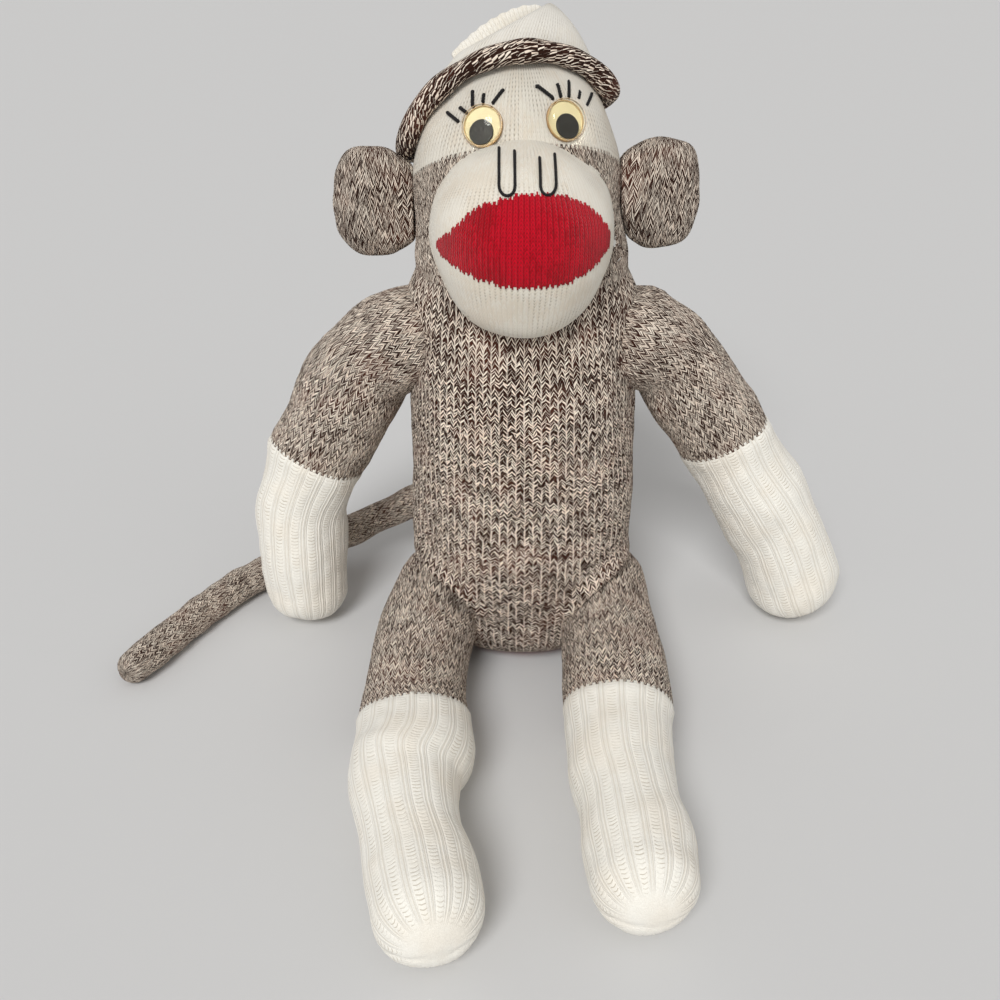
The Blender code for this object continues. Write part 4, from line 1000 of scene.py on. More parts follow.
@dataclass
class Route:
    """A smooth line through places, with the tube's radius at each."""

    places: np.ndarray
    radii: np.ndarray
    samples: int = 800

    def __post_init__(self) -> None:
        """Measures the line."""
        self.shares = np.linspace(0, 1, self.samples)
        self.line = blended(self.places, self.shares)
        self.reached = distances_along(self.line)

    @property
    def length(self) -> float:
        """How long the line is."""
        return float(self.reached[-1])

    def distance(self, share: float) -> float:
        """How far along the line a share of its places is."""
        return float(np.interp(share, self.shares, self.reached))

    def share(self, distances: np.ndarray) -> np.ndarray:
        """Which shares of the line's places distances along it are."""
        return np.interp(distances, self.reached, self.shares)

    def read(self, distances: np.ndarray) -> tuple[np.ndarray, np.ndarray, np.ndarray]:
        """Reads the line.

        Args:
            distances: how far along to read.

        Returns:
            The places, the directions and the radii there.
        """
        shares = self.share(distances)
        step = 0.5 / len(self.places) ** 2
        along = unit(blended(self.places, shares + step) - blended(self.places, shares - step))
        return blended(self.places, shares), along, blended(self.radii, shares)


@dataclass
class Stocking:
    """A stuffed tube of knit along a route, with a rounded end."""

    route: Route
    reference: np.ndarray
    columns: int
    row_step: float = 0.0011
    blunt: float = 2.3
    reach: float = 0.9
    lean: float = 0.0
    lean_place: float = 0.0
    lean_reach: float = 0.5
    seam_place: float = -0.2
    seam_depth: float = 0.0009

    def weave(self, course: float, boundary: float, band: float = 0.006) -> Weave:
        """Makes the tube's surface.

        Args:
            course: the height of a row of stitches.
            boundary: how far along the colour changes; the rows are finer near it.
            band: how far from the boundary the rows are finer.

        Returns:
            The surface, with the stitch rows counted from the boundary.
        """
        length = self.route.length
        step = self.row_step * COARSEN
        near = np.linspace(boundary - band, boundary + band, round(band * 2 * ROWS_PER_COURSE / course),
                           endpoint=False)
        before = np.linspace(0, boundary - band, max(2, round((boundary - band) / step)), endpoint=False)
        after = np.linspace(boundary + band, length, max(2, round((length - boundary - band) / step)))
        distances = np.concatenate([before, near, after])
        centres, along, radii = self.route.read(distances)
        start_turns = np.linspace(QUARTER * 0.92, QUARTER * 0.15, 5)
        finish_turns = np.linspace(0, QUARTER, max(6, round(radii[-1] * QUARTER / step)))[1:]
        finish_turns[-1] = QUARTER * NEAR_POLE
        power = 2 / self.blunt
        start_centres = centres[0] - along[0] * (radii[0] * np.sin(start_turns))[:, None]
        start_radii = radii[0] * np.cos(start_turns)
        out = radii[-1] * self.reach * np.sin(finish_turns) ** power
        finish_centres = centres[-1] + along[-1] * out[:, None]
        finish_radii = radii[-1] * np.cos(finish_turns) ** power
        centres = np.concatenate([start_centres, centres, finish_centres])
        radii = np.concatenate([start_radii, radii, finish_radii])
        along = np.concatenate([np.repeat(along[:1], len(start_turns), axis=0), along,
                                np.repeat(along[-1:], len(finish_turns), axis=0)])
        across = unit(self.reference - along * (along @ self.reference)[:, None])
        upward = np.cross(along, across)
        angles = angles_round(self.columns)
        from_lean = np.abs(self.route.share(distances) - self.lean_place) / self.lean_reach
        leans = self.lean * np.cos(QUARTER * np.minimum(from_lean, 1)) ** 2
        leans = np.concatenate([np.zeros(len(start_turns)), leans, np.zeros(len(finish_turns))])
        finish_share = np.concatenate([np.zeros(len(radii) - len(finish_turns)), np.sin(finish_turns)])
        level = radii[:, None] * np.cos(angles) / radii.max()
        sunk = np.exp(-(((level - self.seam_place) / 0.07) ** 2)) * smooth_step(0.3, 0.8, finish_share)[:, None]
        sideways = (across + along * leans[:, None])[:, None] * (radii[:, None] * np.cos(angles))[..., None]
        points = (centres[:, None] + sideways + upward[:, None] * (radii[:, None] * np.sin(angles))[..., None]
                  - along[:, None] * (sunk * self.seam_depth)[..., None])
        arc = distances_along(np.stack([distances_along(centres), radii], axis=-1))
        mark = np.interp(boundary, distances, arc[len(start_turns):len(start_turns) + len(distances)])
        self.from_boundary = arc - mark
        self.row_radii = radii
        courses = np.repeat(((arc - mark) / course)[:, None], self.columns + 1, axis=1)
        wales = np.arange(self.columns + 1) / self.columns
        return Weave(points, wales, courses, centres[:, None])


@dataclass
class Limb:
    """An arm or a leg: a marled stocking with a ribbed cream end."""

    side: Side
    kind: str
    joint: str
    body: str
    nodes: tuple[str, str]
    names: tuple[str, str]
    places: tuple[Point, ...]
    radii: tuple[float, ...]
    cuff_share: float
    wale_count: int
    rib_count: int
    reference: np.ndarray
    seed: int
    lean: float = 0.0
    gauge: Gauge = LIMB_GAUGE
    rib_height: float = 0.00018
    relief: float = 0.00025
    swell: float = 0.0008

    def build(self) -> None:
        """Makes the cover and the cuff."""
        route = Route(joint_place(self.joint) + np.array(self.places), np.array(self.radii))
        stocking = Stocking(route, self.reference, tube_columns(self.wale_count), lean=self.lean,
                            lean_place=self.cuff_share)
        weave = stocking.weave(self.gauge.course, route.distance(self.cuff_share))
        shares = weave.wales
        weave.wales = shares * self.wale_count
        rows = stocking.from_boundary[:, None]
        far = smooth_step(0.0, 0.004, rows)
        tip = smooth_step(0.3, 0.66, stocking.row_radii[:, None] / max(self.radii))
        weave.felted = 1 - tip
        ribs = self.ribs(shares[:-1][None, :])
        amounts = far * tip * ribs * self.rib_height + (1 - far) * weave.stitch_heights(self.gauge) * self.relief
        amounts += far * 0.0006 * np.exp(-((rows - 0.004) / 0.005) ** 2)
        amounts += lumps(weave.points, 0.032, self.seed) * self.swell
        amounts += lumps(weave.points, 0.012, self.seed + 1) * self.swell * 0.25
        weave.push(amounts)
        weave.clear(f"{self.kind}_stuffing_{self.side.word}")
        low = weave.points[..., 2]
        eased = FLOOR_EASE * np.exp(np.clip((low - FLOOR_EASE) / FLOOR_EASE, -6, 0))
        weave.points[..., 2] = np.where(low < FLOOR_EASE, eased, low)
        self.split(weave, stocking)

    def ribs(self, turned: np.ndarray) -> np.ndarray:
        """How high the ribbing stands at shares of a turn round the tube."""
        from_rib = 0.5 - np.abs(turned * self.rib_count - np.floor(turned * self.rib_count) - 0.5)
        upright = np.exp(-((from_rib / 0.085) ** 2)) * 1.3
        beside = np.exp(-(((from_rib - FURROW) / 0.05) ** 2)) * 0.6
        return upright - beside + 0.5 * np.sin(np.clip((from_rib - FURROW) / 0.33, 0, 1) * QUARTER)

    def split(self, weave: Weave, stocking: Stocking) -> None:
        """Parts the surface into cover and cuff along the pointed edge of a row of stitches."""
        cuff = np.floor(weave.middle_legs(self.gauge)) >= 1
        cover = weave.piece(self.names[0], keep=~cuff, caps=(True, False))
        dress(cover, Finish.LIMB_MARL, self.body, [self.nodes[0]])
        weave.wales = weave.wales / self.wale_count * self.rib_count
        weave.courses = np.repeat((stocking.from_boundary / RIB_ROW)[:, None], weave.courses.shape[1], axis=1)
        sleeve = weave.piece(self.names[1], keep=cuff, caps=(False, True), rim=LIP)
        dress(sleeve, Finish.RIBBED, self.body, [self.nodes[1]])


def build_limbs() -> None:
    """Makes both arms and both legs."""
    arm_radius = 0.027
    leg_radius = 0.025
    arm_places = {
        Side.LEFT: ((0, 0, 0), (-0.0193, 0.0017, -0.0119), (-0.0307, 0.0017, -0.0274), (-0.0421, 0.0017, -0.0485),
                    (-0.0538, 0.0008, -0.0716), (-0.0619, 0, -0.0942), (-0.0634, -0.0025, -0.1193),
                    (-0.0629, -0.005, -0.1429)),
        Side.RIGHT: ((0, 0, 0), (0.0163, 0.0017, -0.0106), (0.0277, 0.0017, -0.0256), (0.0431, 0.0017, -0.0464),
                     (0.0549, 0.0017, -0.0673), (0.0706, 0.0017, -0.0917), (0.0827, 0.0008, -0.1129),
                     (0.0936, 0, -0.1391)),
    }
    arm_girths = {
        Side.LEFT: (0.93, 0.91, 0.95, 0.93, 0.895, 0.855, 0.876, 0.80),
        Side.RIGHT: (0.93, 0.83, 0.87, 0.88, 0.87, 0.94, 0.907, 0.93),
    }
    arm_cuffs = {Side.LEFT: 0.535, Side.RIGHT: 0.475}
    arm_leans = {Side.LEFT: 0.1, Side.RIGHT: 0.0}
    leg_places = {
        Side.LEFT: ((0, 0, 0), (-0.0048, -0.02, -0.00225), (-0.008, -0.04, -0.0041), (-0.0104, -0.08, -0.0062),
                    (-0.0084, -0.1164, -0.0066), (-0.0104, -0.1396, -0.0060), (-0.0068, -0.1658, -0.0056),
                    (-0.0012, -0.186, -0.0081), (0.0022, -0.201, -0.0086)),
        Side.RIGHT: ((0, 0, 0), (0.0006, -0.02, -0.00225), (0.0014, -0.04, -0.00425), (0.0012, -0.078, -0.005),
                     (-0.0006, -0.112, -0.0060), (-0.0012, -0.136, -0.0064), (0.0002, -0.154, -0.0064),
                     (0.0016, -0.1710, -0.0080), (0.0022, -0.1876, -0.0084)),
    }
    leg_girths = {
        Side.LEFT: (0.95, 0.95, 0.975, 0.945, 1.077, 0.97, 0.841, 0.895, 0.877),
        Side.RIGHT: (0.95, 0.95, 0.965, 1.02, 0.955, 0.902, 0.855, 0.922, 0.859),
    }
    leg_cuffs = {Side.LEFT: 0.42, Side.RIGHT: 0.42}
    leg_leans = {Side.LEFT: 0.6, Side.RIGHT: 0.4}
    for side in Side:
        word = side.word
        Limb(
            side, "arm", f"shoulder_{word}_swing", f"arm_{word}", (f"arm_{word}", f"hand_cuff_{word}"),
            (f"arm_cover_{word}", f"hand_cover_{word}"), arm_places[side],
            tuple(arm_radius * girth for girth in arm_girths[side]), arm_cuffs[side], 50, 17, -AHEAD,
            11 + side.value, arm_leans[side],
        ).build()
        Limb(
            side, "leg", f"hip_{word}_swing", f"leg_{word}", (f"leg_{word}", f"foot_cuff_{word}"),
            (f"leg_cover_{word}", f"foot_cover_{word}"), leg_places[side],
            tuple(leg_radius * girth for girth in leg_girths[side]), leg_cuffs[side], 50, 17, UP,
            21 + side.value, leg_leans[side], swell=0.0004,
        ).build()


@dataclass
class Tail:
    """The tail: a thin marled stocking that lies round behind the left hand."""

    radius: float = 0.0088
    places: tuple[Point, ...] = (
        (0, 0, 0), (-0.0286, 0.0156, -0.0054), (-0.0598, 0.0117, -0.0182), (-0.0962, 0.0078, -0.0354),
        (-0.13, -0.0039, -0.0483), (-0.156, -0.0221, -0.0526), (-0.1742, -0.0481, -0.0537),
        (-0.1885, -0.0754, -0.0537), (-0.1989, -0.0975, -0.0537),
    )
    wale_count: int = 22
    relief: float = 0.0002
    swell: float = 0.0005

    def build(self) -> None:
        """Makes the tail's cover."""
        route = Route(joint_place("tail_wag") + np.array(self.places), np.full(len(self.places), self.radius))
        stocking = Stocking(route, UP, tube_columns(self.wale_count))
        weave = stocking.weave(TAIL_GAUGE.course, route.length / 2)
        weave.wales = weave.wales * self.wale_count
        weave.push(weave.stitch_heights(TAIL_GAUGE) * self.relief + lumps(weave.points, 0.02, 31) * self.swell)
        weave.clear("tail_stuffing")
        weave.points[..., 2] = np.maximum(weave.points[..., 2], 0.0)
        cover = weave.piece("tail_cover", caps=(True, True))
        dress(cover, Finish.LIMB_MARL, "tail", ["tail"])


# Torso and head


@dataclass
class Levels:
    """Flat rings of a form that stands up: the centre and half sizes at each height."""

    heights: np.ndarray
    centres: np.ndarray
    halves: np.ndarray

    def read(self, heights: np.ndarray) -> tuple[np.ndarray, np.ndarray]:
        """Reads the form smoothly between its rings.

        Args:
            heights: any shape of heights.

        Returns:
            The centres and the half sizes, with two numbers more on the last axis.
        """
        flat = heights.reshape(-1)
        spots = np.interp(flat, self.heights, np.linspace(0, 1, len(self.heights)))
        shape = heights.shape + (2,)
        return blended(self.centres, spots).reshape(shape), blended(self.halves, spots).reshape(shape)


@dataclass
class Torso:
    """The body of the sock: a leaning tube with a rounded seat, and the red heel under it."""

    height: float = 0.196
    half_width: float = 0.056
    half_depth: float = 0.0465
    lean: float = 0.022
    aside: float = -0.0015
    edge: float = 0.028
    top: float = 0.203
    wale_count: int = 88
    relief: float = 0.00022
    swell: float = 0.0009
    ripple: float = 0.00025
    belly: float = 0.0026
    thigh_way: Point = (0.008, -0.04, -0.0041)
    thigh_radius: float = 0.0242
    fold_rise: float = 0.005
    fold_place: float = 0.0052
    fold_width: float = 0.0046
    shoulder: float = 0.0045
    heel_centre: Point = (0, 0.018, -0.010)
    heel_radius: float = 0.044
    shares: tuple[tuple[float, float, float, float], ...] = (
        (0.143, 0.960, 0.89, 0.00), (0.280, 0.985, 1.00, 0.05), (0.460, 1.000, 1.00, 0.18),
        (0.640, 0.993, 0.99, 0.40), (0.800, 0.968, 0.98, 0.66), (0.930, 0.915, 1.00, 0.86),
        (1.036, 0.890, 1.06, 1.02),
    )

    def weave(self) -> Weave:
        """The torso's surface from under the seat to the neck."""
        table = np.array(self.shares)
        heights = table[:, 0] * self.height
        centres = np.stack([self.aside * table[:, 3], self.lean * table[:, 3]], axis=-1)
        halves = np.stack([self.half_width * table[:, 1], self.half_depth * table[:, 2]], axis=-1)
        levels = Levels(heights, centres, halves)
        columns = tube_columns(self.wale_count)
        under = np.linspace(0.02, 1, 14)
        turns = np.linspace(0, QUARTER, 26)[1:-1]
        base = halves[0] - self.edge
        flat_halves = base[None] * under[:, None]
        edge_halves = base[None] + (self.edge * np.sin(turns))[:, None]
        edge_heights = self.edge * (1 - np.cos(turns))
        step = 0.00115 * COARSEN
        rising = np.linspace(heights[0], self.top, round((self.top - heights[0]) / step))
        side_centres, side_halves = levels.read(rising)
        all_heights = np.concatenate([np.zeros(len(under)), edge_heights, rising])
        all_halves = np.concatenate([flat_halves, edge_halves, side_halves])
        all_centres = np.concatenate([np.zeros((len(under) + len(turns), 2)), side_centres])
        angles = angles_round(columns) - QUARTER
        points = np.zeros((len(all_heights), columns, 3))
        points[..., 0] = all_centres[:, :1] + all_halves[:, :1] * np.cos(angles)
        points[..., 1] = all_centres[:, 1:] + all_halves[:, 1:] * np.sin(angles)
        points[..., 2] = all_heights[:, None]
        arc = distances_along(points[:, 0])
        course = np.interp(all_heights, (0.0, 0.09, 0.13, 0.19), (0.0016, 0.0015, 0.0017, 0.0024))
        counted = np.concatenate([[0.0], np.cumsum(np.diff(arc) / ((course[1:] + course[:-1]) / 2))])
        courses = np.repeat(counted[:, None], columns + 1, axis=1)
        wales = np.arange(columns + 1) / columns * self.wale_count
        core = np.concatenate([all_centres, np.maximum(all_heights, self.edge)[:, None]], axis=-1)[:, None]
        return Weave(points, wales, courses, core)

    def folds(self, points: np.ndarray) -> np.ndarray:
        """How far the belly rolls out over the thighs at each point."""
        nearest = np.full(points.shape[:-1], 1.0)
        for side in Side:
            start = joint_place(f"hip_{side.word}_swing")
            way = np.array(self.thigh_way) * (side.value, 1, 1)
            share = np.clip((points - start) @ way / (way @ way), 0, 1)
            away = np.linalg.norm(points - start - share[..., None] * way, axis=-1) - self.thigh_radius
            nearest = np.minimum(nearest, away)
        roll = np.exp(-(((nearest - self.fold_place) / self.fold_width) ** 2))
        fade = smooth_step(0.028, 0.044, points[..., 2]) * smooth_step(0.059, 0.045, np.abs(points[..., 0]))
        return roll * fade * self.fold_rise

    def build(self) -> None:
        """Makes the torso's cover and the red heel in it."""
        weave = self.weave()
        heights = weave.points[..., 2]
        amounts = (weave.stitch_heights(TORSO_GAUGE) * self.relief + lumps(weave.points, 0.045, 3) * self.swell
                   + lumps(weave.points, 0.014, 4) * self.ripple)
        amounts = amounts * smooth_step(0.0, 0.02, heights)
        neck = smooth_step(0.185, 0.2, heights)
        angles = angles_round(heights.shape[1]) - QUARTER
        belly = np.exp(-(((heights - 0.070) / 0.020) ** 2)) * np.clip(-np.sin(angles), 0, 1) ** 2
        weave.push(amounts * (1 - neck) + belly * self.belly + self.folds(weave.points))
        weave.clear("torso_stuffing")
        slope = smooth_step(0.2015, 0.186, weave.points[..., 2]) * smooth_step(0.165, 0.180, weave.points[..., 2])
        weave.points[..., 0] += np.sign(np.cos(angles)) * np.abs(np.cos(angles)) ** 6 * slope * self.shoulder
        middles = (weave.points[:-1] + weave.points[1:]) / 2
        middles = (middles + np.roll(middles, -1, axis=1)) / 2
        legs = weave.middle_legs(TORSO_GAUGE)
        snapped = middles + UP * ((np.floor(legs) - legs) * TORSO_GAUGE.course)[..., None]
        heel = np.linalg.norm(snapped - np.array(self.heel_centre), axis=-1) < self.heel_radius
        cover = weave.piece("torso_cover", keep=~heel, caps=(False, True))
        cover.data.materials.append(Finish.TORSO_MARL.material)
        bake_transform(cover)
        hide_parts("torso")
        patch = weave.piece("seat_heel_cover", keep=heel, caps=(True, False), rim=LIP)
        dress(patch, Finish.RED, "torso", ["seat_heel"])


@dataclass
class Head:
    """The head: marled cheeks below and the cream toe of the sock above, on a slant."""

    centre: Point = (-0.004, 0.033, 0.230)
    half_width: float = 0.049
    half_depth: float = 0.0435
    rise: float = 0.066
    jaw: tuple[float, float] = (0.0508, 0.0500)
    neck: Point = (-0.0015, 0.022, 0.196)
    start: float = 0.199
    toe_lift: float = 0.008
    toe_slope: float = math.tan(math.radians(28))
    toe_roll: float = math.tan(math.radians(4))
    wale_count: int = 122
    toe_wales: int = 140
    relief: float = 0.0002
    swell: float = 0.0006

    def section(self, heights: np.ndarray) -> tuple[np.ndarray, np.ndarray]:
        """The ring's centre and half sizes at heights from the neck to near the top."""
        share = np.clip((heights - self.neck[2]) / (self.centre[2] - self.neck[2]), 0, 1)
        ease = share * share * (3 - 2 * share)
        above = np.clip((heights - self.centre[2]) / self.rise, 0, 0.9999)
        dome = np.sqrt(1 - above**2)
        centres = np.stack([self.neck[axis] + (self.centre[axis] - self.neck[axis]) * ease for axis in (0, 1)],
                           axis=-1)
        tops = (self.half_width, self.half_depth)
        halves = np.stack([(low + (high - low) * ease) * dome for low, high in zip(self.jaw, tops)], axis=-1)
        return centres, halves

    def around(self, angles: np.ndarray, heights: np.ndarray) -> np.ndarray:
        """The points of the head's side at angles and heights of the same shape."""
        centres, halves = self.section(heights)
        x = centres[..., 0] + halves[..., 0] * np.cos(angles)
        y = centres[..., 1] + halves[..., 1] * np.sin(angles)
        return np.stack([x, y, heights], axis=-1)

    def front(self, aside: float, rise: float) -> tuple[np.ndarray, np.ndarray]:
        """A place on the head's front and its outward direction, from its offsets to the head's centre."""
        share = (aside / self.half_width) ** 2 + (rise / self.rise) ** 2
        ahead = self.half_depth * math.sqrt(1 - share)
        outward = np.array((aside / self.half_width**2, -ahead / self.half_depth**2, rise / self.rise**2))
        return np.array(self.centre) + np.array((aside, -ahead, rise)), unit(outward)

    def beyond(self, place: np.ndarray, outward: np.ndarray, grow: float = 0.0) -> np.ndarray:
        """Where lines from places along directions leave the head's dome, grown by a distance."""
        sizes = np.array((self.half_width, self.half_depth, self.rise)) + grow
        start = (place - np.array(self.centre)) / sizes
        way = outward / sizes
        squares = np.sum(way * way, axis=-1, keepdims=True)
        mixed = np.sum(way * start, axis=-1, keepdims=True)
        rest = np.sum(start * start, axis=-1, keepdims=True) - 1
        return place + outward * (-mixed + np.sqrt(np.maximum(mixed**2 - squares * rest, 0))) / squares

    def weave(self) -> Weave:
        """The head's surface, with its rows counted from the change of colour."""
        columns = tube_columns(self.wale_count)
        angles = angles_round(columns) - QUARTER
        change = np.full(columns, self.centre[2])
        for _ in range(30):
            spots = self.around(angles, change)
            change = (self.centre[2] + self.toe_lift - self.toe_slope * (spots[:, 1] - self.centre[1])
                      + self.toe_roll * (spots[:, 0] - self.centre[0]))
        top = self.centre[2] + self.rise * 0.93
        step = 0.0010 * COARSEN
        below = np.linspace(0, 1, round(0.045 / step), endpoint=False)[:, None]
        above = np.linspace(0, 1, round(0.055 / step))[:, None]
        heights = np.concatenate([self.start + (change - self.start) * below, change + (top - change) * above])
        points = self.around(np.broadcast_to(angles, heights.shape), heights)
        steps = np.linalg.norm(np.diff(points, axis=0), axis=-1)
        arc = np.concatenate([np.zeros((1, columns)), np.cumsum(steps, axis=0)])
        arc = arc - arc[len(below)]
        courses = arc / CHEEK_GAUGE.course
        courses = np.concatenate([courses, courses[:, :1]], axis=1)
        wales = np.arange(columns + 1) / columns * self.wale_count
        centres, _ = self.section(heights)
        core = np.concatenate([centres, np.full(heights.shape + (1,), self.centre[2])], axis=-1)
        return Weave(points, wales, courses, core)

    def build(self) -> None:
        """Makes the marled lower cover and the cream toe."""
        weave = self.weave()
        heights = weave.points[..., 2]
        lower = smooth_step(0.0, 1.0, -weave.courses[:, :-1])
        amounts = (lower * weave.stitch_heights(CHEEK_GAUGE) * self.relief
                   + lumps(weave.points, 0.04, 6) * self.swell)
        weave.push(amounts * smooth_step(0.2, 0.206, heights))
        weave.clear("head_stuffing")
        toe = np.floor(weave.middle_legs(CHEEK_GAUGE)) >= 1
        cover = weave.piece("head_cover", keep=~toe)
        cover.data.materials.append(Finish.LIMB_MARL.material)
        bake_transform(cover)
        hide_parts("head_lower")
        weave.courses = weave.courses * (CHEEK_GAUGE.course / TOE_GAUGE.course)
        weave.wales = weave.wales * (self.toe_wales / self.wale_count)
        cap = weave.piece("head_toe_cover", keep=toe, caps=(False, True), rim=0.0008)
        dress(cap, Finish.CREAM, "head", ["head_toe_cap"])


def disc_from_square(across: np.ndarray, along: np.ndarray) -> tuple[np.ndarray, np.ndarray]:
    """Bends a square from -1 to 1 into a round disc, keeping its lines nearly straight in the middle.

    Args:
        across: places across the square.
        along: places up the square.

    Returns:
        The places across and up the disc.
    """
    return across * np.sqrt(1 - along**2 / 2), along * np.sqrt(1 - across**2 / 2)


@dataclass
class Cup:
    """A blunt cup of knit in front of a centre: its half sizes, its depth and how full it is."""

    centre: Point
    half_width: float
    half_height: float
    depth: float
    fullness: float
    ahead: np.ndarray
    square: float = 2.0

    def __post_init__(self) -> None:
        """Measures the cup's profile from its tip to its rim."""
        turns = np.linspace(QUARTER, 0, 400)
        power = 2 / self.fullness
        self.radii = np.cos(turns) ** power
        self.radii[0] = 0.0
        self.fronts = np.sin(turns) ** power
        size = (self.half_width + self.half_height) / 2
        steps = np.hypot(np.diff(self.radii) * size, np.diff(self.fronts) * self.depth)
        reached = np.concatenate([[0.0], np.cumsum(steps)])
        self.span = float(reached[-1])
        self.shares = reached / self.span

    def flat(self, across: np.ndarray, along: np.ndarray) -> tuple[np.ndarray, np.ndarray, np.ndarray]:
        """Where the cup's square sheet lies: shares of the half width and half height, and of the depth."""
        x, z = disc_from_square(across, along)
        reach = np.hypot(x, z)
        radius = np.interp(reach, self.shares, self.radii)
        front = np.interp(reach, self.shares, self.fronts)
        scale = radius / np.maximum(reach, 1e-9)
        aside, rise = np.abs(x) / np.maximum(reach, 1e-9), np.abs(z) / np.maximum(reach, 1e-9)
        scale = scale * (aside**self.square + rise**self.square + 1e-12) ** (-1 / self.square)
        return x * scale, z * scale, front

    def points(self, across: np.ndarray, along: np.ndarray) -> np.ndarray:
        """The cup's points for places on its square sheet."""
        x, z, front = self.flat(across, along)
        return (np.array(self.centre) + ACROSS * (x * self.half_width)[..., None]
                + UP * (z * self.half_height)[..., None] + self.ahead * (front * self.depth)[..., None])

    def weave(self, gauge: Gauge, step: float) -> Weave:
        """The cup's surface with stitches of a gauge, and points about a step apart."""
        columns = max(8, round(self.span * 2 / step / COARSEN))
        spots = np.linspace(-1, 1, columns + 1)
        along, across = np.meshgrid(spots, spots, indexing="ij")
        wales = spots * self.span / gauge.wale
        courses = along * self.span / gauge.course
        points = self.points(across, along)
        return Weave(points, np.append(wales, wales[-1]), np.concatenate([courses, courses[:, -1:]], axis=1),
                     np.array(self.centre), closed=False)


@dataclass
class Muzzle:
    """The muzzle: a cream cup of the sock's heel with red lips knit into it."""

    cup: Cup = field(default_factory=lambda: Cup((-0.0022, 0.008, 0.2215), 0.0418, 0.0405, 0.060, 2.5, AHEAD))
    neck: Point = (-0.0015, 0.022, 0.196)
    neck_clear: float = 0.0545
    chin: float = 0.0055
    lips: tuple[tuple[float, float], ...] = (
        (-0.885, 0.02), (-0.72, 0.24), (-0.46, 0.51), (-0.20, 0.62), (0.06, 0.655), (0.34, 0.635), (0.60, 0.51),
        (0.80, 0.30), (0.89, 0.08), (0.80, -0.06), (0.55, -0.18), (0.22, -0.245), (-0.20, -0.22), (-0.60, -0.13),
    )
    gauge: Gauge = Gauge(0.0024, 0.0017)
    relief: float = 0.0001
    swell: float = 0.0005
    lips_out: float = 0.0003

    def build(self) -> None:
        """Makes the cream cover and the lips."""
        weave = self.cup.weave(self.gauge, 0.0007)
        weave.push(lumps(weave.points, 0.03, 8) * self.swell + weave.stitch_heights(self.gauge) * self.relief)
        x, y, z = (weave.points[..., axis] for axis in range(3))
        chord = self.neck_clear**2 - (x - self.neck[0]) ** 2 - (z - self.neck[2]) ** 2
        chest = self.neck[1] - np.sqrt(np.maximum(chord, 0))
        near_neck = np.where(chord > 0, 1 - smooth_step(0.203, 0.214, z), 0)
        under = smooth_step(0.207, 0.190, z) * smooth_step(-0.053, -0.038, y)
        beyond = np.maximum(y - chest, 0) * near_neck
        weave.points[..., 1] = y - beyond
        weave.points[..., 2] = z - under * self.chin + beyond * 0.8
        weave.clear("muzzle_stuffing")
        across, along = weave.middle_stitches()
        across, along = across[:, :-1], along[:, :-1]
        legs, _ = stitch_legs(across, along, self.gauge.slant)
        row = np.floor(legs) + 0.5 - self.gauge.slant * 0.5
        wale = np.floor(across) + 0.5
        flat_x, flat_z, _ = self.cup.flat(np.clip(wale * self.gauge.wale / self.cup.span, -1, 1),
                                          np.clip(row * self.gauge.course / self.cup.span, -1, 1))
        outline = smooth_loop(np.array(self.lips), 12)
        red = inside_loop(np.stack([flat_x, flat_z], axis=-1), outline)
        cover = weave.piece("muzzle_cover", keep=~red)
        dress(cover, Finish.MUZZLE_CREAM, "head", ["muzzle"])
        weave.push(np.full(x.shape, self.lips_out))
        lips = weave.piece("lips_cover", keep=red, rim=LIP)
        dress(lips, Finish.RED, "head", ["lips"])

    def front(self, aside: float, rise: float, out: float) -> np.ndarray:
        """A place off the cup's front by a distance, from shares of its half sizes."""
        cup = self.cup
        reach = math.hypot(aside, rise)
        ahead = cup.depth * (1 - reach**cup.fullness) ** (1 / cup.fullness)
        flat = reach ** (cup.fullness - 2)
        outward = unit(np.array((flat * aside / cup.half_width,
                                 -((ahead / cup.depth) ** (cup.fullness - 1)) / cup.depth,
                                 flat * rise / cup.half_height)))
        spot = np.array(cup.centre) + np.array((aside * cup.half_width, -ahead, rise * cup.half_height))
        return spot + outward * out


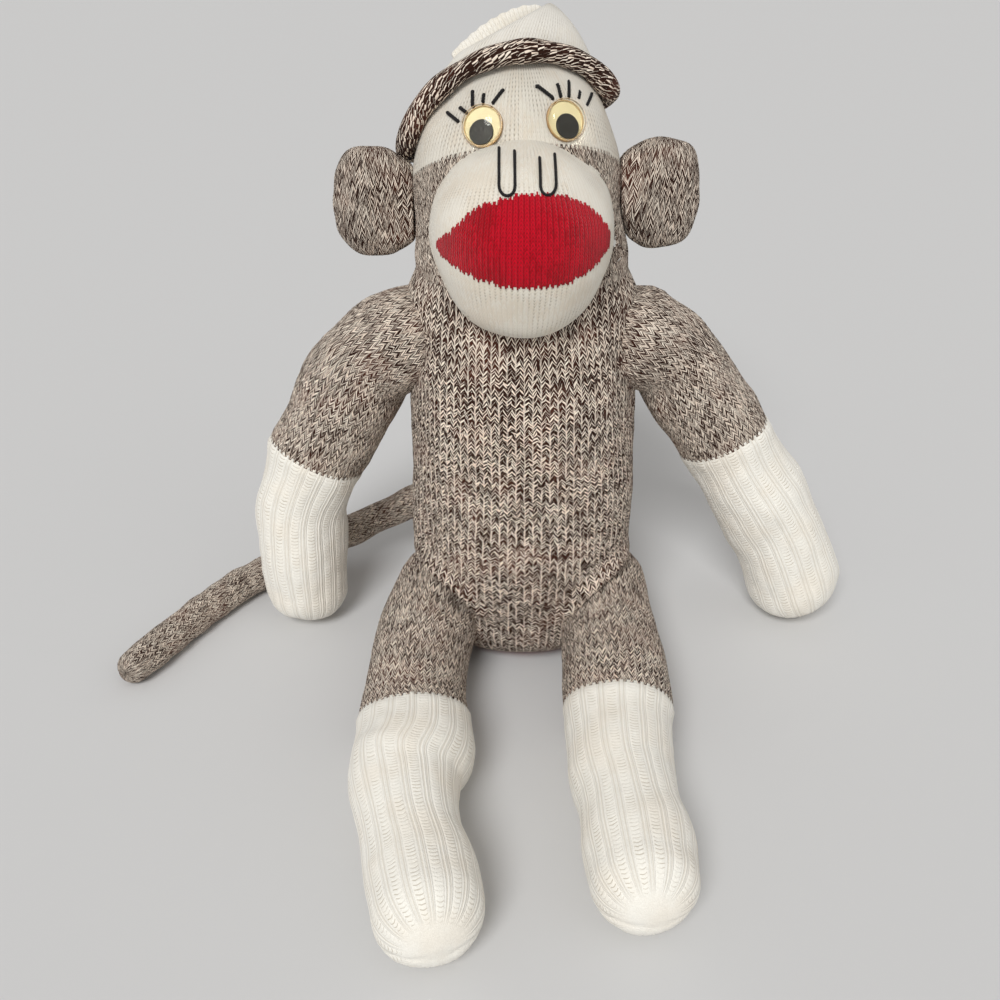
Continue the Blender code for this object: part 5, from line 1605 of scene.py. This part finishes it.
@dataclass
class Ear:
    """An ear: two puffed cups of marl sewn together at their rims, and drawn to the head where they are sewn on."""

    side: Side
    head: Head
    half_widths: tuple[float, float] = (0.0187, 0.0179)
    half_height: float = 0.0255
    half_thickness: float = 0.010
    square: float = 2.65
    relief: float = 0.0003
    swell: float = 0.0005

    def build(self) -> None:
        """Makes the ear's front and back as one pad."""
        word = self.side.word
        low, high = (np.array(corner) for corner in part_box(f"ear_{word}"))
        centre = tuple((low + high) / 2)
        half_width = self.half_widths[self.side is Side.RIGHT]
        halves = []
        for ahead in (AHEAD, -AHEAD):
            cup = Cup(centre, half_width, self.half_height, self.half_thickness, 2.5, ahead, self.square)
            weave = cup.weave(EAR_GAUGE, 0.0008)
            weave.core = np.array(centre) - ahead * self.half_thickness
            stitches = weave.stitch_heights(EAR_GAUGE)
            rim = np.ones(weave.points.shape[:2])
            rim[0] = rim[-1] = 0
            rim[:, 0] = rim[:, -1] = 0
            weave.push((stitches * self.relief + lumps(weave.points, 0.016, 40 + self.side.value) * self.swell) * rim)
            weave.clear(f"ear_stuffing_{word}")
            self.draw_in(weave, centre, half_width)
            halves.append(weave.piece(f"ear_cover_{word}"))
        pad = join_pieces(halves, f"ear_cover_{word}", merge=0.00002)
        dress(pad, Finish.EAR_MARL, f"ear_{word}", [f"ear_{word}"])

    def draw_in(self, weave: Weave, centre: Point, half_width: float) -> None:
        """Stretches the inner edge to the head's side.

        Args:
            weave: the ear's front or back, changed in place.
            centre: the ear's middle.
            half_width: half of its width.
        """
        places = weave.points
        centres, halves = self.head.section(places[..., 2])
        deep = np.clip((places[..., 1] - centres[..., 1]) / halves[..., 1], -0.9, 0.9)
        side = centres[..., 0] + self.side.value * (halves[..., 0] * np.sqrt(1 - deep**2) + 0.0002)
        inner = (places[..., 0] - centre[0]) * -self.side.value / half_width
        gap = np.clip((places[..., 0] - side) * self.side.value, 0, 0.004)
        places[..., 0] -= self.side.value * gap * smooth_step(0.55, 0.95, inner)


def join_pieces(pieces: Sequence[bpy.types.Object], name: str, merge: float = 0.0) -> bpy.types.Object:
    """Joins objects into one, and merges the points where they meet if a distance is given for it.

    Args:
        pieces: the objects.
        name: the joined object's name.
        merge: the distance within which points are merged.

    Returns:
        The joined object.
    """
    bpy.ops.object.select_all(action="DESELECT")
    for piece in pieces:
        piece.select_set(True)
    bpy.context.view_layer.objects.active = pieces[0]
    bpy.ops.object.join()
    joined = bpy.context.view_layer.objects.active
    if merge:
        bpy.ops.object.mode_set(mode="EDIT")
        bpy.ops.mesh.select_all(action="SELECT")
        bpy.ops.mesh.remove_doubles(threshold=merge)
        bpy.ops.object.mode_set(mode="OBJECT")
    joined.name = name
    return joined


def turn_stitches(piece: bpy.types.Object) -> None:
    """Turns a piece's stitches a quarter, so that its rows run along its length."""
    layer = piece.data.uv_layers["stitches"].data
    marks = np.zeros(len(layer) * 2, np.float32)
    layer.foreach_get("uv", marks)
    layer.foreach_set("uv", marks.reshape(-1, 2)[:, ::-1].reshape(-1).copy())


# Hat


@dataclass
class Hat:
    """The hat: a soft cream crown with a fold, and a marled brim that is rolled up."""

    head: Head
    front_tilt: float = math.radians(56)
    rear_tilt: float = math.radians(22)
    bend: float = 0.4
    roll: float = math.radians(15.4)
    lift: float = 0.037
    back: float = -0.002
    aside: float = 0.0025
    brim_radius: float = 0.0048
    gap: float = 0.0003
    peak_rise: float = 0.0785
    peak_side: float = 0.0128
    peak_back: float = 0.013
    crown_out: float = 0.0040
    crown_lift: float = 0.0045
    crown_wall: float = 0.002
    clearance: float = 0.0022
    sag: float = 1.51
    sag_change: float = 0.26
    sag_turn: float = math.radians(-51)
    fold_place: Point = (-0.03575, 0.045, 0.28763)
    fold_way: Point = (-0.45126, 0.10625, 0.88605)
    fold_ease: float = 0.0015
    hem: tuple[Point, ...] = (
        (-0.0335, 0.050, 0.2868), (-0.0249, 0.052, 0.2915), (-0.0166, 0.054, 0.2962), (-0.0083, 0.055, 0.3005),
        (-0.0001, 0.054, 0.3044), (0.0075, 0.051, 0.3068),
    )
    hem_rise: float = 0.0056
    hem_thickness: float = 0.0024
    crown_wales: int = 140
    hem_wales: int = 12

    def __post_init__(self) -> None:
        """Works out the middle of the hat's rim."""
        self.centre = np.array(self.head.centre) + np.array((self.aside, self.back, self.lift))

    def ways(self, angles: np.ndarray) -> tuple[np.ndarray, np.ndarray, np.ndarray]:
        """The directions across, ahead and above at angles round the rim, which is steeper at the front."""
        front = np.clip((np.sin(angles) + self.bend) / self.bend / 2, 0, 1)
        tilts = self.rear_tilt + (self.front_tilt - self.rear_tilt) * (3 * front**2 - 2 * front**3)
        lean = np.array(Matrix.Rotation(-self.roll, 3, "Y"))
        flat = np.zeros_like(tilts)
        across = np.stack([flat + 1, flat, flat], axis=-1)
        ahead = np.stack([flat, -np.cos(tilts), np.sin(tilts)], axis=-1)
        above = np.stack([flat, np.sin(tilts), np.cos(tilts)], axis=-1)
        return across @ lean.T, ahead @ lean.T, above @ lean.T

    def rim(self, angles: np.ndarray, out: float, lift: float = 0.0) -> np.ndarray:
        """Points round the head where the hat's slanted rim meets it, grown by a distance."""
        across, ahead, above = self.ways(angles)
        ways = across * np.cos(angles)[:, None] + ahead * np.sin(angles)[:, None]
        return self.head.beyond(self.centre + above * lift, ways, out)

    def build_brim(self) -> None:
        """Makes the rolled brim."""
        rows = 300 // COARSEN
        columns = 36
        angles = TURN * np.arange(rows + 1) / rows
        middles = self.rim(angles, self.brim_radius + self.gap * 2)
        along = unit(np.roll(middles[:-1], -1, axis=0) - np.roll(middles[:-1], 1, axis=0))
        along = np.concatenate([along, along[:1]])
        across = unit(np.cross(self.ways(angles)[2], along))
        upward = np.cross(along, across)
        turned = angles_round(columns)
        girth = self.brim_radius * (1 + 0.07 * np.sin(angles * 5 + 0.8) + 0.05 * np.sin(angles * 11))[:, None]
        points = (middles[:, None] + across[:, None] * (girth * np.cos(turned))[..., None]
                  + upward[:, None] * (girth * np.sin(turned))[..., None])
        arc = distances_along(middles)
        count = round(arc[-1] / BRIM_GAUGE.wale)
        wales = np.arange(columns + 1) / columns * round(TURN * self.brim_radius / BRIM_GAUGE.course)
        courses = np.repeat((arc / arc[-1] * count)[:, None], columns + 1, axis=1)
        weave = Weave(points, wales, courses, middles[:, None])
        brim = weave.piece("hat_brim_roll")
        turn_stitches(brim)
        dress(brim, Finish.BRIM_MARL, "head", ["hat_brim"])

    def build_crown(self) -> None:
        """Makes the crown."""
        columns = 280 // COARSEN
        rows = 70 // COARSEN
        angles = angles_round(columns)
        base = self.centre + self.ways(np.array([QUARTER]))[2][0] * self.crown_lift
        peak = np.array(self.head.centre) + np.array((self.peak_side, self.peak_back, self.peak_rise))
        foot = self.rim(angles, self.crown_out, self.crown_lift)
        sag = self.sag + self.sag_change * np.cos(angles - self.sag_turn)
        turns = np.linspace(0, QUARTER * NEAR_POLE, rows)[:, None]
        out = (np.cos(turns) ** sag)[..., None]
        rise = (np.sin(turns) ** sag)[..., None]
        points = base + (foot - base)[None] * out + (peak - base) * rise
        offset = points - np.array(self.head.centre)
        sizes = np.array((self.head.half_width, self.head.half_depth, self.head.rise))
        sizes = sizes + self.clearance + self.crown_wall
        reach = np.linalg.norm(offset / sizes, axis=-1, keepdims=True)
        points = np.where(reach < 1, np.array(self.head.centre) + offset / np.maximum(reach, 1e-6), points)
        courses = np.repeat((distances_along(points[:, 0]) / TOE_GAUGE.course)[:, None], columns + 1, axis=1)
        wales = np.arange(columns + 1) / columns * self.crown_wales
        weave = Weave(points, wales, courses, np.array(self.head.centre))
        weave.push(lumps(points, 0.03, 9) * 0.0006)
        above = (weave.points - np.array(self.fold_place)) @ np.array(self.fold_way)
        eased = (above + self.fold_ease) ** 2 / self.fold_ease / 4
        drop = np.where(above > self.fold_ease, above, np.where(above > -self.fold_ease, eased, 0))
        weave.points -= drop[..., None] * np.array(self.fold_way)
        crown = weave.piece("hat_crown_cover", caps=(False, True), rim=0.0015)
        crown = join_pieces([crown, self.build_hem()], "hat_crown_cover")
        dress(crown, Finish.HAT_CREAM, "head", ["hat_crown"])

    def build_hem(self) -> bpy.types.Object:
        """Makes the layer that shows behind the crown's fold."""
        rows = 90 // COARSEN
        columns = 32 // COARSEN
        shares = np.linspace(0, 1, rows)
        middles = blended(np.array(self.hem), shares)
        along = unit(np.gradient(middles, axis=0))
        upward = unit(np.array(self.fold_way) - along * (along @ np.array(self.fold_way))[:, None])
        behind = np.cross(along, upward)
        size = np.sqrt(np.clip(np.sin(math.pi * np.clip(shares * 0.94 + 0.03, 0, 1)), 0.02, 1))[:, None]
        ripple = 1 + 0.05 * np.sin(shares * TURN * 9)[:, None]
        turned = angles_round(columns)
        points = (middles[:, None] + upward[:, None] * (size * ripple * self.hem_rise * np.sin(turned))[..., None]
                  + behind[:, None] * (size * self.hem_thickness * np.cos(turned))[..., None])
        arc = distances_along(middles)
        courses = np.repeat((arc / TOE_GAUGE.wale)[:, None], columns + 1, axis=1)
        wales = np.arange(columns + 1) / columns * self.hem_wales
        hem = Weave(points, wales, courses, middles[:, None]).piece("hat_hem", caps=(True, True))
        turn_stitches(hem)
        return hem


# Eyes, lashes and nostrils


def turned_out(outward: np.ndarray) -> Matrix:
    """The turn that takes +Z to a direction and keeps +Y as upright as it can be."""
    across = unit(np.cross(UP, outward))
    upright = np.cross(outward, across)
    return Matrix((across, upright, outward)).transposed().to_4x4()


@dataclass
class Eye:
    """A glued wiggle eye: a yellowed back with a rim, a loose pupil and a clear dome."""

    side: Side
    radius: float = 0.0090
    back: float = 0.0008
    gap: float = 0.0003
    dome_height: float = 0.0050
    dome_skirt: float = 0.0016
    wall: float = 0.0005
    edge: float = 0.0002
    lip: float = 0.0005
    pupil_radius: float = 0.0054
    pupil_thickness: float = 0.0009
    pupil_drop: float = 0.0027

    def place(self, made: bpy.types.Object, at: np.ndarray, name: str) -> bpy.types.Object:
        """Turns a piece made flat at the origin to face out of the eye's bed, and applies its place."""
        joint = next(j for j in frame["joints"] if j["name"] == f"pupil_{self.side.word}_roll")
        turn = turned_out(np.array(joint["axis"], float))
        made.data.transform(Matrix.Translation(Vector(joint["pos_m"])) @ turn @ Matrix.Translation(Vector(at)))
        made.name = name
        made.data.name = name
        return made

    def turned(self, profile: Sequence[tuple[float, float]], steps: int = 64) -> bpy.types.Object:
        """Spins a profile of radius and height about Z into a closed shape."""
        bpy.ops.object.select_all(action="DESELECT")
        bpy.ops.mesh.primitive_circle_add(vertices=steps, radius=profile[0][0], fill_type="NOTHING",
                                          location=(0, 0, profile[0][1]))
        made = bpy.context.object
        bpy.ops.object.transform_apply(location=True, rotation=False, scale=False)
        bpy.ops.object.mode_set(mode="EDIT")
        bpy.ops.mesh.select_all(action="SELECT")
        for (radius, height), (next_radius, next_height) in zip(profile, profile[1:]):
            ratio = next_radius / radius
            bpy.ops.mesh.extrude_edges_move()
            bpy.ops.transform.resize(value=(ratio, ratio, 1), center_override=(0, 0, height))
            bpy.ops.transform.translate(value=(0, 0, next_height - height))
        bpy.ops.mesh.select_all(action="SELECT")
        bpy.ops.mesh.remove_doubles(threshold=0.000001)
        bpy.ops.mesh.fill_holes(sides=0)
        bpy.ops.mesh.normals_make_consistent(inside=False)
        bpy.ops.object.mode_set(mode="OBJECT")
        made.data.shade_smooth()
        made.data.set_sharp_from_angle(angle=math.radians(40))
        return made

    def build(self) -> None:
        """Makes the back, the pupil and the dome."""
        word = self.side.word
        edge, lip = self.edge, self.lip
        low = self.gap
        high = low + self.back
        back = self.turned([(self.radius - edge, low), (self.radius, low + edge), (self.radius, high + lip * 0.6),
                            (self.radius - edge, high + lip), (self.radius - 0.0008, high + lip),
                            (self.radius - 0.0011, high), (self.radius * 0.3, high)])
        reach = np.array([math.hypot(point.co.x, point.co.y) for point in back.data.vertices])
        mark_points(back.data, "rim", smooth_step(self.radius - 0.0012, self.radius - 0.0006, reach))
        dress(self.place(back, np.zeros(3), f"eye_back_plate_{word}"), Finish.EYE_BACK, "head",
              [f"eye_back_{word}"])
        start = high + self.gap
        end = start + self.pupil_thickness
        size = self.pupil_radius
        disc = self.turned([(size - edge, start), (size, start + edge), (size, end - edge), (size - edge, end),
                            (size * 0.4, end + edge / 2)])
        dress(self.place(disc, np.array((0, -self.pupil_drop, 0)), f"eye_pupil_disc_{word}"), Finish.PUPIL,
              f"pupil_{word}", [f"eye_pupil_{word}"])
        profile = []
        rings = 12
        for inset in (0.0, self.wall):
            arch = []
            for ring in range(rings):
                angle = QUARTER * ring / rings * 0.98
                arch.append(((self.radius - inset) * math.cos(angle),
                             start + self.dome_skirt + (self.dome_height - self.dome_skirt - inset) * math.sin(angle)))
            skirt = [(self.radius - inset, start)]
            profile = profile + skirt + arch if not inset else list(reversed(skirt + arch)) + profile
        dome = self.turned(profile)
        dress(self.place(dome, np.zeros(3), f"eye_dome_shell_{word}"), Finish.DOME, "head",
              [f"eye_dome_{word}"])


@dataclass
class Thread:
    """A stitch of two-ply black thread along a line, with ends that dive into the cloth."""

    name: str
    points: np.ndarray
    inward: np.ndarray
    radius: float = 0.00065
    twist: float = 0.0024
    dive: float = 0.0012

    def build(self, node: str) -> None:
        """Makes the thread's two plies and puts them in place of a CAD node."""
        ends = np.concatenate([self.points[:1] + self.inward * self.dive, self.points,
                               self.points[-1:] + self.inward * self.dive])
        route = Route(ends, np.full(len(ends), self.radius), 300)
        rows = max(8, round(route.length / 0.0003 / COARSEN))
        centres, along, _ = route.read(np.linspace(0, route.length, rows))
        across = unit(np.cross(along, self.inward))
        upward = np.cross(along, across)
        turned = np.linspace(0, route.length / self.twist * TURN, rows)[:, None]
        plies = []
        for turn in (0, math.pi):
            wound = across * np.cos(turned + turn) + upward * np.sin(turned + turn)
            plies.append(self.ply(centres + wound * self.radius * 0.42))
        made = join_pieces(plies, self.name)
        made.data.name = self.name
        dress(made, Finish.THREAD, "head", [node])

    def ply(self, places: np.ndarray) -> bpy.types.Object:
        """Makes one round ply through places."""
        bpy.ops.object.select_all(action="DESELECT")
        bpy.ops.curve.primitive_bezier_curve_add()
        made = bpy.context.object
        curve = made.data
        curve.splines.clear()
        spline = curve.splines.new("POLY")
        spline.points.add(len(places) - 1)
        for point, place in zip(spline.points, places):
            point.co = (*place, 1.0)
        curve.dimensions = "3D"
        curve.bevel_depth = self.radius * 0.66
        curve.bevel_resolution = 1
        curve.use_fill_caps = True
        bpy.ops.object.convert(target="MESH")
        made = bpy.context.object
        made.data.shade_smooth()
        return made


@dataclass
class Face:
    """The stitches on the face: five lashes over each eye and two long nostrils."""

    head: Head
    muzzle: Muzzle
    eye_radius: float = 0.0090
    lash_out: float = 0.0006
    lash_radius: float = 0.0008
    eyes: tuple[tuple[float, float], tuple[float, float]] = ((-0.01525, 0.0365), (0.0200, 0.0383))
    bed: float = 0.0006
    lashes_left: tuple = (
        ((-1.40, 0.21), (-2.09, 0.62)), ((-1.02, 0.64), (-1.37, 0.84)), ((-0.70, 0.95), (-0.85, 1.62)),
        ((-0.19, 1.16), (-0.22, 1.49)), ((0.33, 1.13), (0.67, 1.78)),
    )
    lashes_right: tuple = (
        ((-0.39, 1.12), (-0.97, 1.80)), ((0.05, 1.17), (0.08, 1.75)), ((0.50, 1.12), (0.78, 1.88)),
        ((1.07, 1.01), (1.28, 1.36)), ((1.49, 0.67), (2.15, 1.30)),
    )
    nostril_half: float = 0.0032
    nostril_middles: tuple[float, float] = (-0.164, 0.234)
    nostril_tops: tuple[float, float] = (0.94, 0.90)
    nostril_bottom: float = 0.715

    def build(self) -> None:
        """Makes every stitch."""
        for index, side in enumerate(Side):
            place, outward = self.head.front(*self.eyes[index])
            across = unit(np.cross(UP, outward))
            across = across if across[0] > 0 else -across
            upright = np.cross(outward, across)
            upright = upright if upright[2] > 0 else -upright
            middle = place - outward * self.bed
            for number, (inner, outer) in enumerate((self.lashes_left, self.lashes_right)[index], 1):
                steps = np.linspace(0, 1, 5)[:, None]
                spots = np.array(inner) * (1 - steps) + np.array(outer) * steps
                spots = spots * self.eye_radius
                start = middle + across * spots[:, :1] + upright * spots[:, 1:]
                line = self.head.beyond(start, np.broadcast_to(outward, start.shape)) + outward * self.lash_out
                lash = Thread(f"lash_thread_{side.word}_{number}", line, -outward, self.lash_radius)
                lash.build(f"lash_{side.word}_{number}")
            self.build_nostril(side, index)

    def build_nostril(self, side: Side, index: int) -> None:
        """Makes one long U on the muzzle's bridge."""
        half = self.nostril_half / self.muzzle.cup.half_width
        middle, top, low = self.nostril_middles[index], self.nostril_tops[index], self.nostril_bottom
        down = [(-half, top + (low - top) * step / 6) for step in range(6)]
        bend = [(half * math.cos(math.pi + math.pi * step / 6), low + half * math.sin(math.pi + math.pi * step / 6))
                for step in range(7)]
        back = [(half, low + (top - low) * step / 6) for step in range(1, 7)]
        spots = down + bend + back
        line = np.array([self.muzzle.front(middle + aside, rise, 0.0007) for aside, rise in spots])
        Thread(f"nostril_thread_{side.word}", line, np.array((0.0, 0.9, -0.43))).build(f"nostril_{side.word}")


# The set


@dataclass
class Studio:
    """A plain pale floor, soft lamps and the camera at the photograph's angle."""

    camera_place: Point = (-0.012, -0.491, 0.364)
    camera_pitch: float = math.radians(30)
    focal_pixels: float = 1100.0
    frame_pixels: float = 1000.0
    sensor_width: float = 36.0
    floor_size: float = 30.0
    floor_drop: float = 0.0006
    sky: float = 0.44
    sky_tint: tuple[float, float, float, float] = (1.0, 0.985, 0.965, 1.0)
    key: float = 1.95
    key_spread: float = 22
    key_from: Point = (-0.22, -0.70, 0.68)
    fill: float = 0.15
    fill_spread: float = 60
    fill_from: Point = (0.7, -0.3, 0.5)

    def build(self) -> None:
        """Makes the floor, the lamps, the sky and the camera."""
        bpy.ops.object.select_all(action="DESELECT")
        bpy.ops.mesh.primitive_plane_add(size=self.floor_size, location=(0, 0, -self.floor_drop))
        floor = bpy.context.object
        floor.name = "studio_floor"
        pale = Smooth(colour(214, 214, 214), rough=0.8, speckle=0.01).build("pale floor")
        floor.data.materials.append(pale)
        world = bpy.data.worlds.new("studio")
        bpy.context.scene.world = world
        world.use_nodes = True
        background = world.node_tree.nodes["Background"]
        background.inputs["Color"].default_value = self.sky_tint
        background.inputs["Strength"].default_value = self.sky
        self.sun("key", self.key_from, self.key, self.key_spread)
        self.sun("fill", self.fill_from, self.fill, self.fill_spread)
        data = bpy.data.cameras.new("camera")
        data.sensor_width = self.sensor_width
        data.lens = self.focal_pixels / self.frame_pixels * data.sensor_width
        camera = bpy.data.objects.new("camera", data)
        camera.location = self.camera_place
        camera.rotation_euler = (QUARTER - self.camera_pitch, 0, 0)
        bpy.context.scene.collection.objects.link(camera)
        bpy.context.scene.camera = camera
        bpy.context.scene.view_settings.view_transform = "Standard"

    def sun(self, name: str, towards: Point, strength: float, spread: float) -> None:
        """Adds a broad sun lamp that shines from a direction."""
        data = bpy.data.lights.new(name, "SUN")
        data.energy = strength
        data.angle = math.radians(spread)
        lamp = bpy.data.objects.new(name, data)
        lamp.rotation_euler = Vector(towards).to_track_quat("Z", "Y").to_euler()
        bpy.context.scene.collection.objects.link(lamp)


def dress_stuffing() -> None:
    """Gives the CAD's own stuffing, which is closed in by the covers, its fibre finish."""
    for name, node in frame["nodes"].items():
        if "stuffing" in name:
            node.data.materials.clear()
            node.data.materials.append(Finish.FIBRE.material)


def main() -> None:
    """Builds the doll and its set, in order."""
    logging.basicConfig(level=logging.INFO, format="%(name)s: %(message)s")
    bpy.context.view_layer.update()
    build_finishes()
    dress_stuffing()
    Torso().build()
    head = Head()
    head.build()
    muzzle = Muzzle()
    muzzle.build()
    for side in Side:
        Ear(side, head).build()
    build_limbs()
    Tail().build()
    hat = Hat(head)
    hat.build_brim()
    hat.build_crown()
    for side in Side:
        Eye(side).build()
    Face(head, muzzle).build()
    Studio().build()


if __name__ == "__main__":
    main()
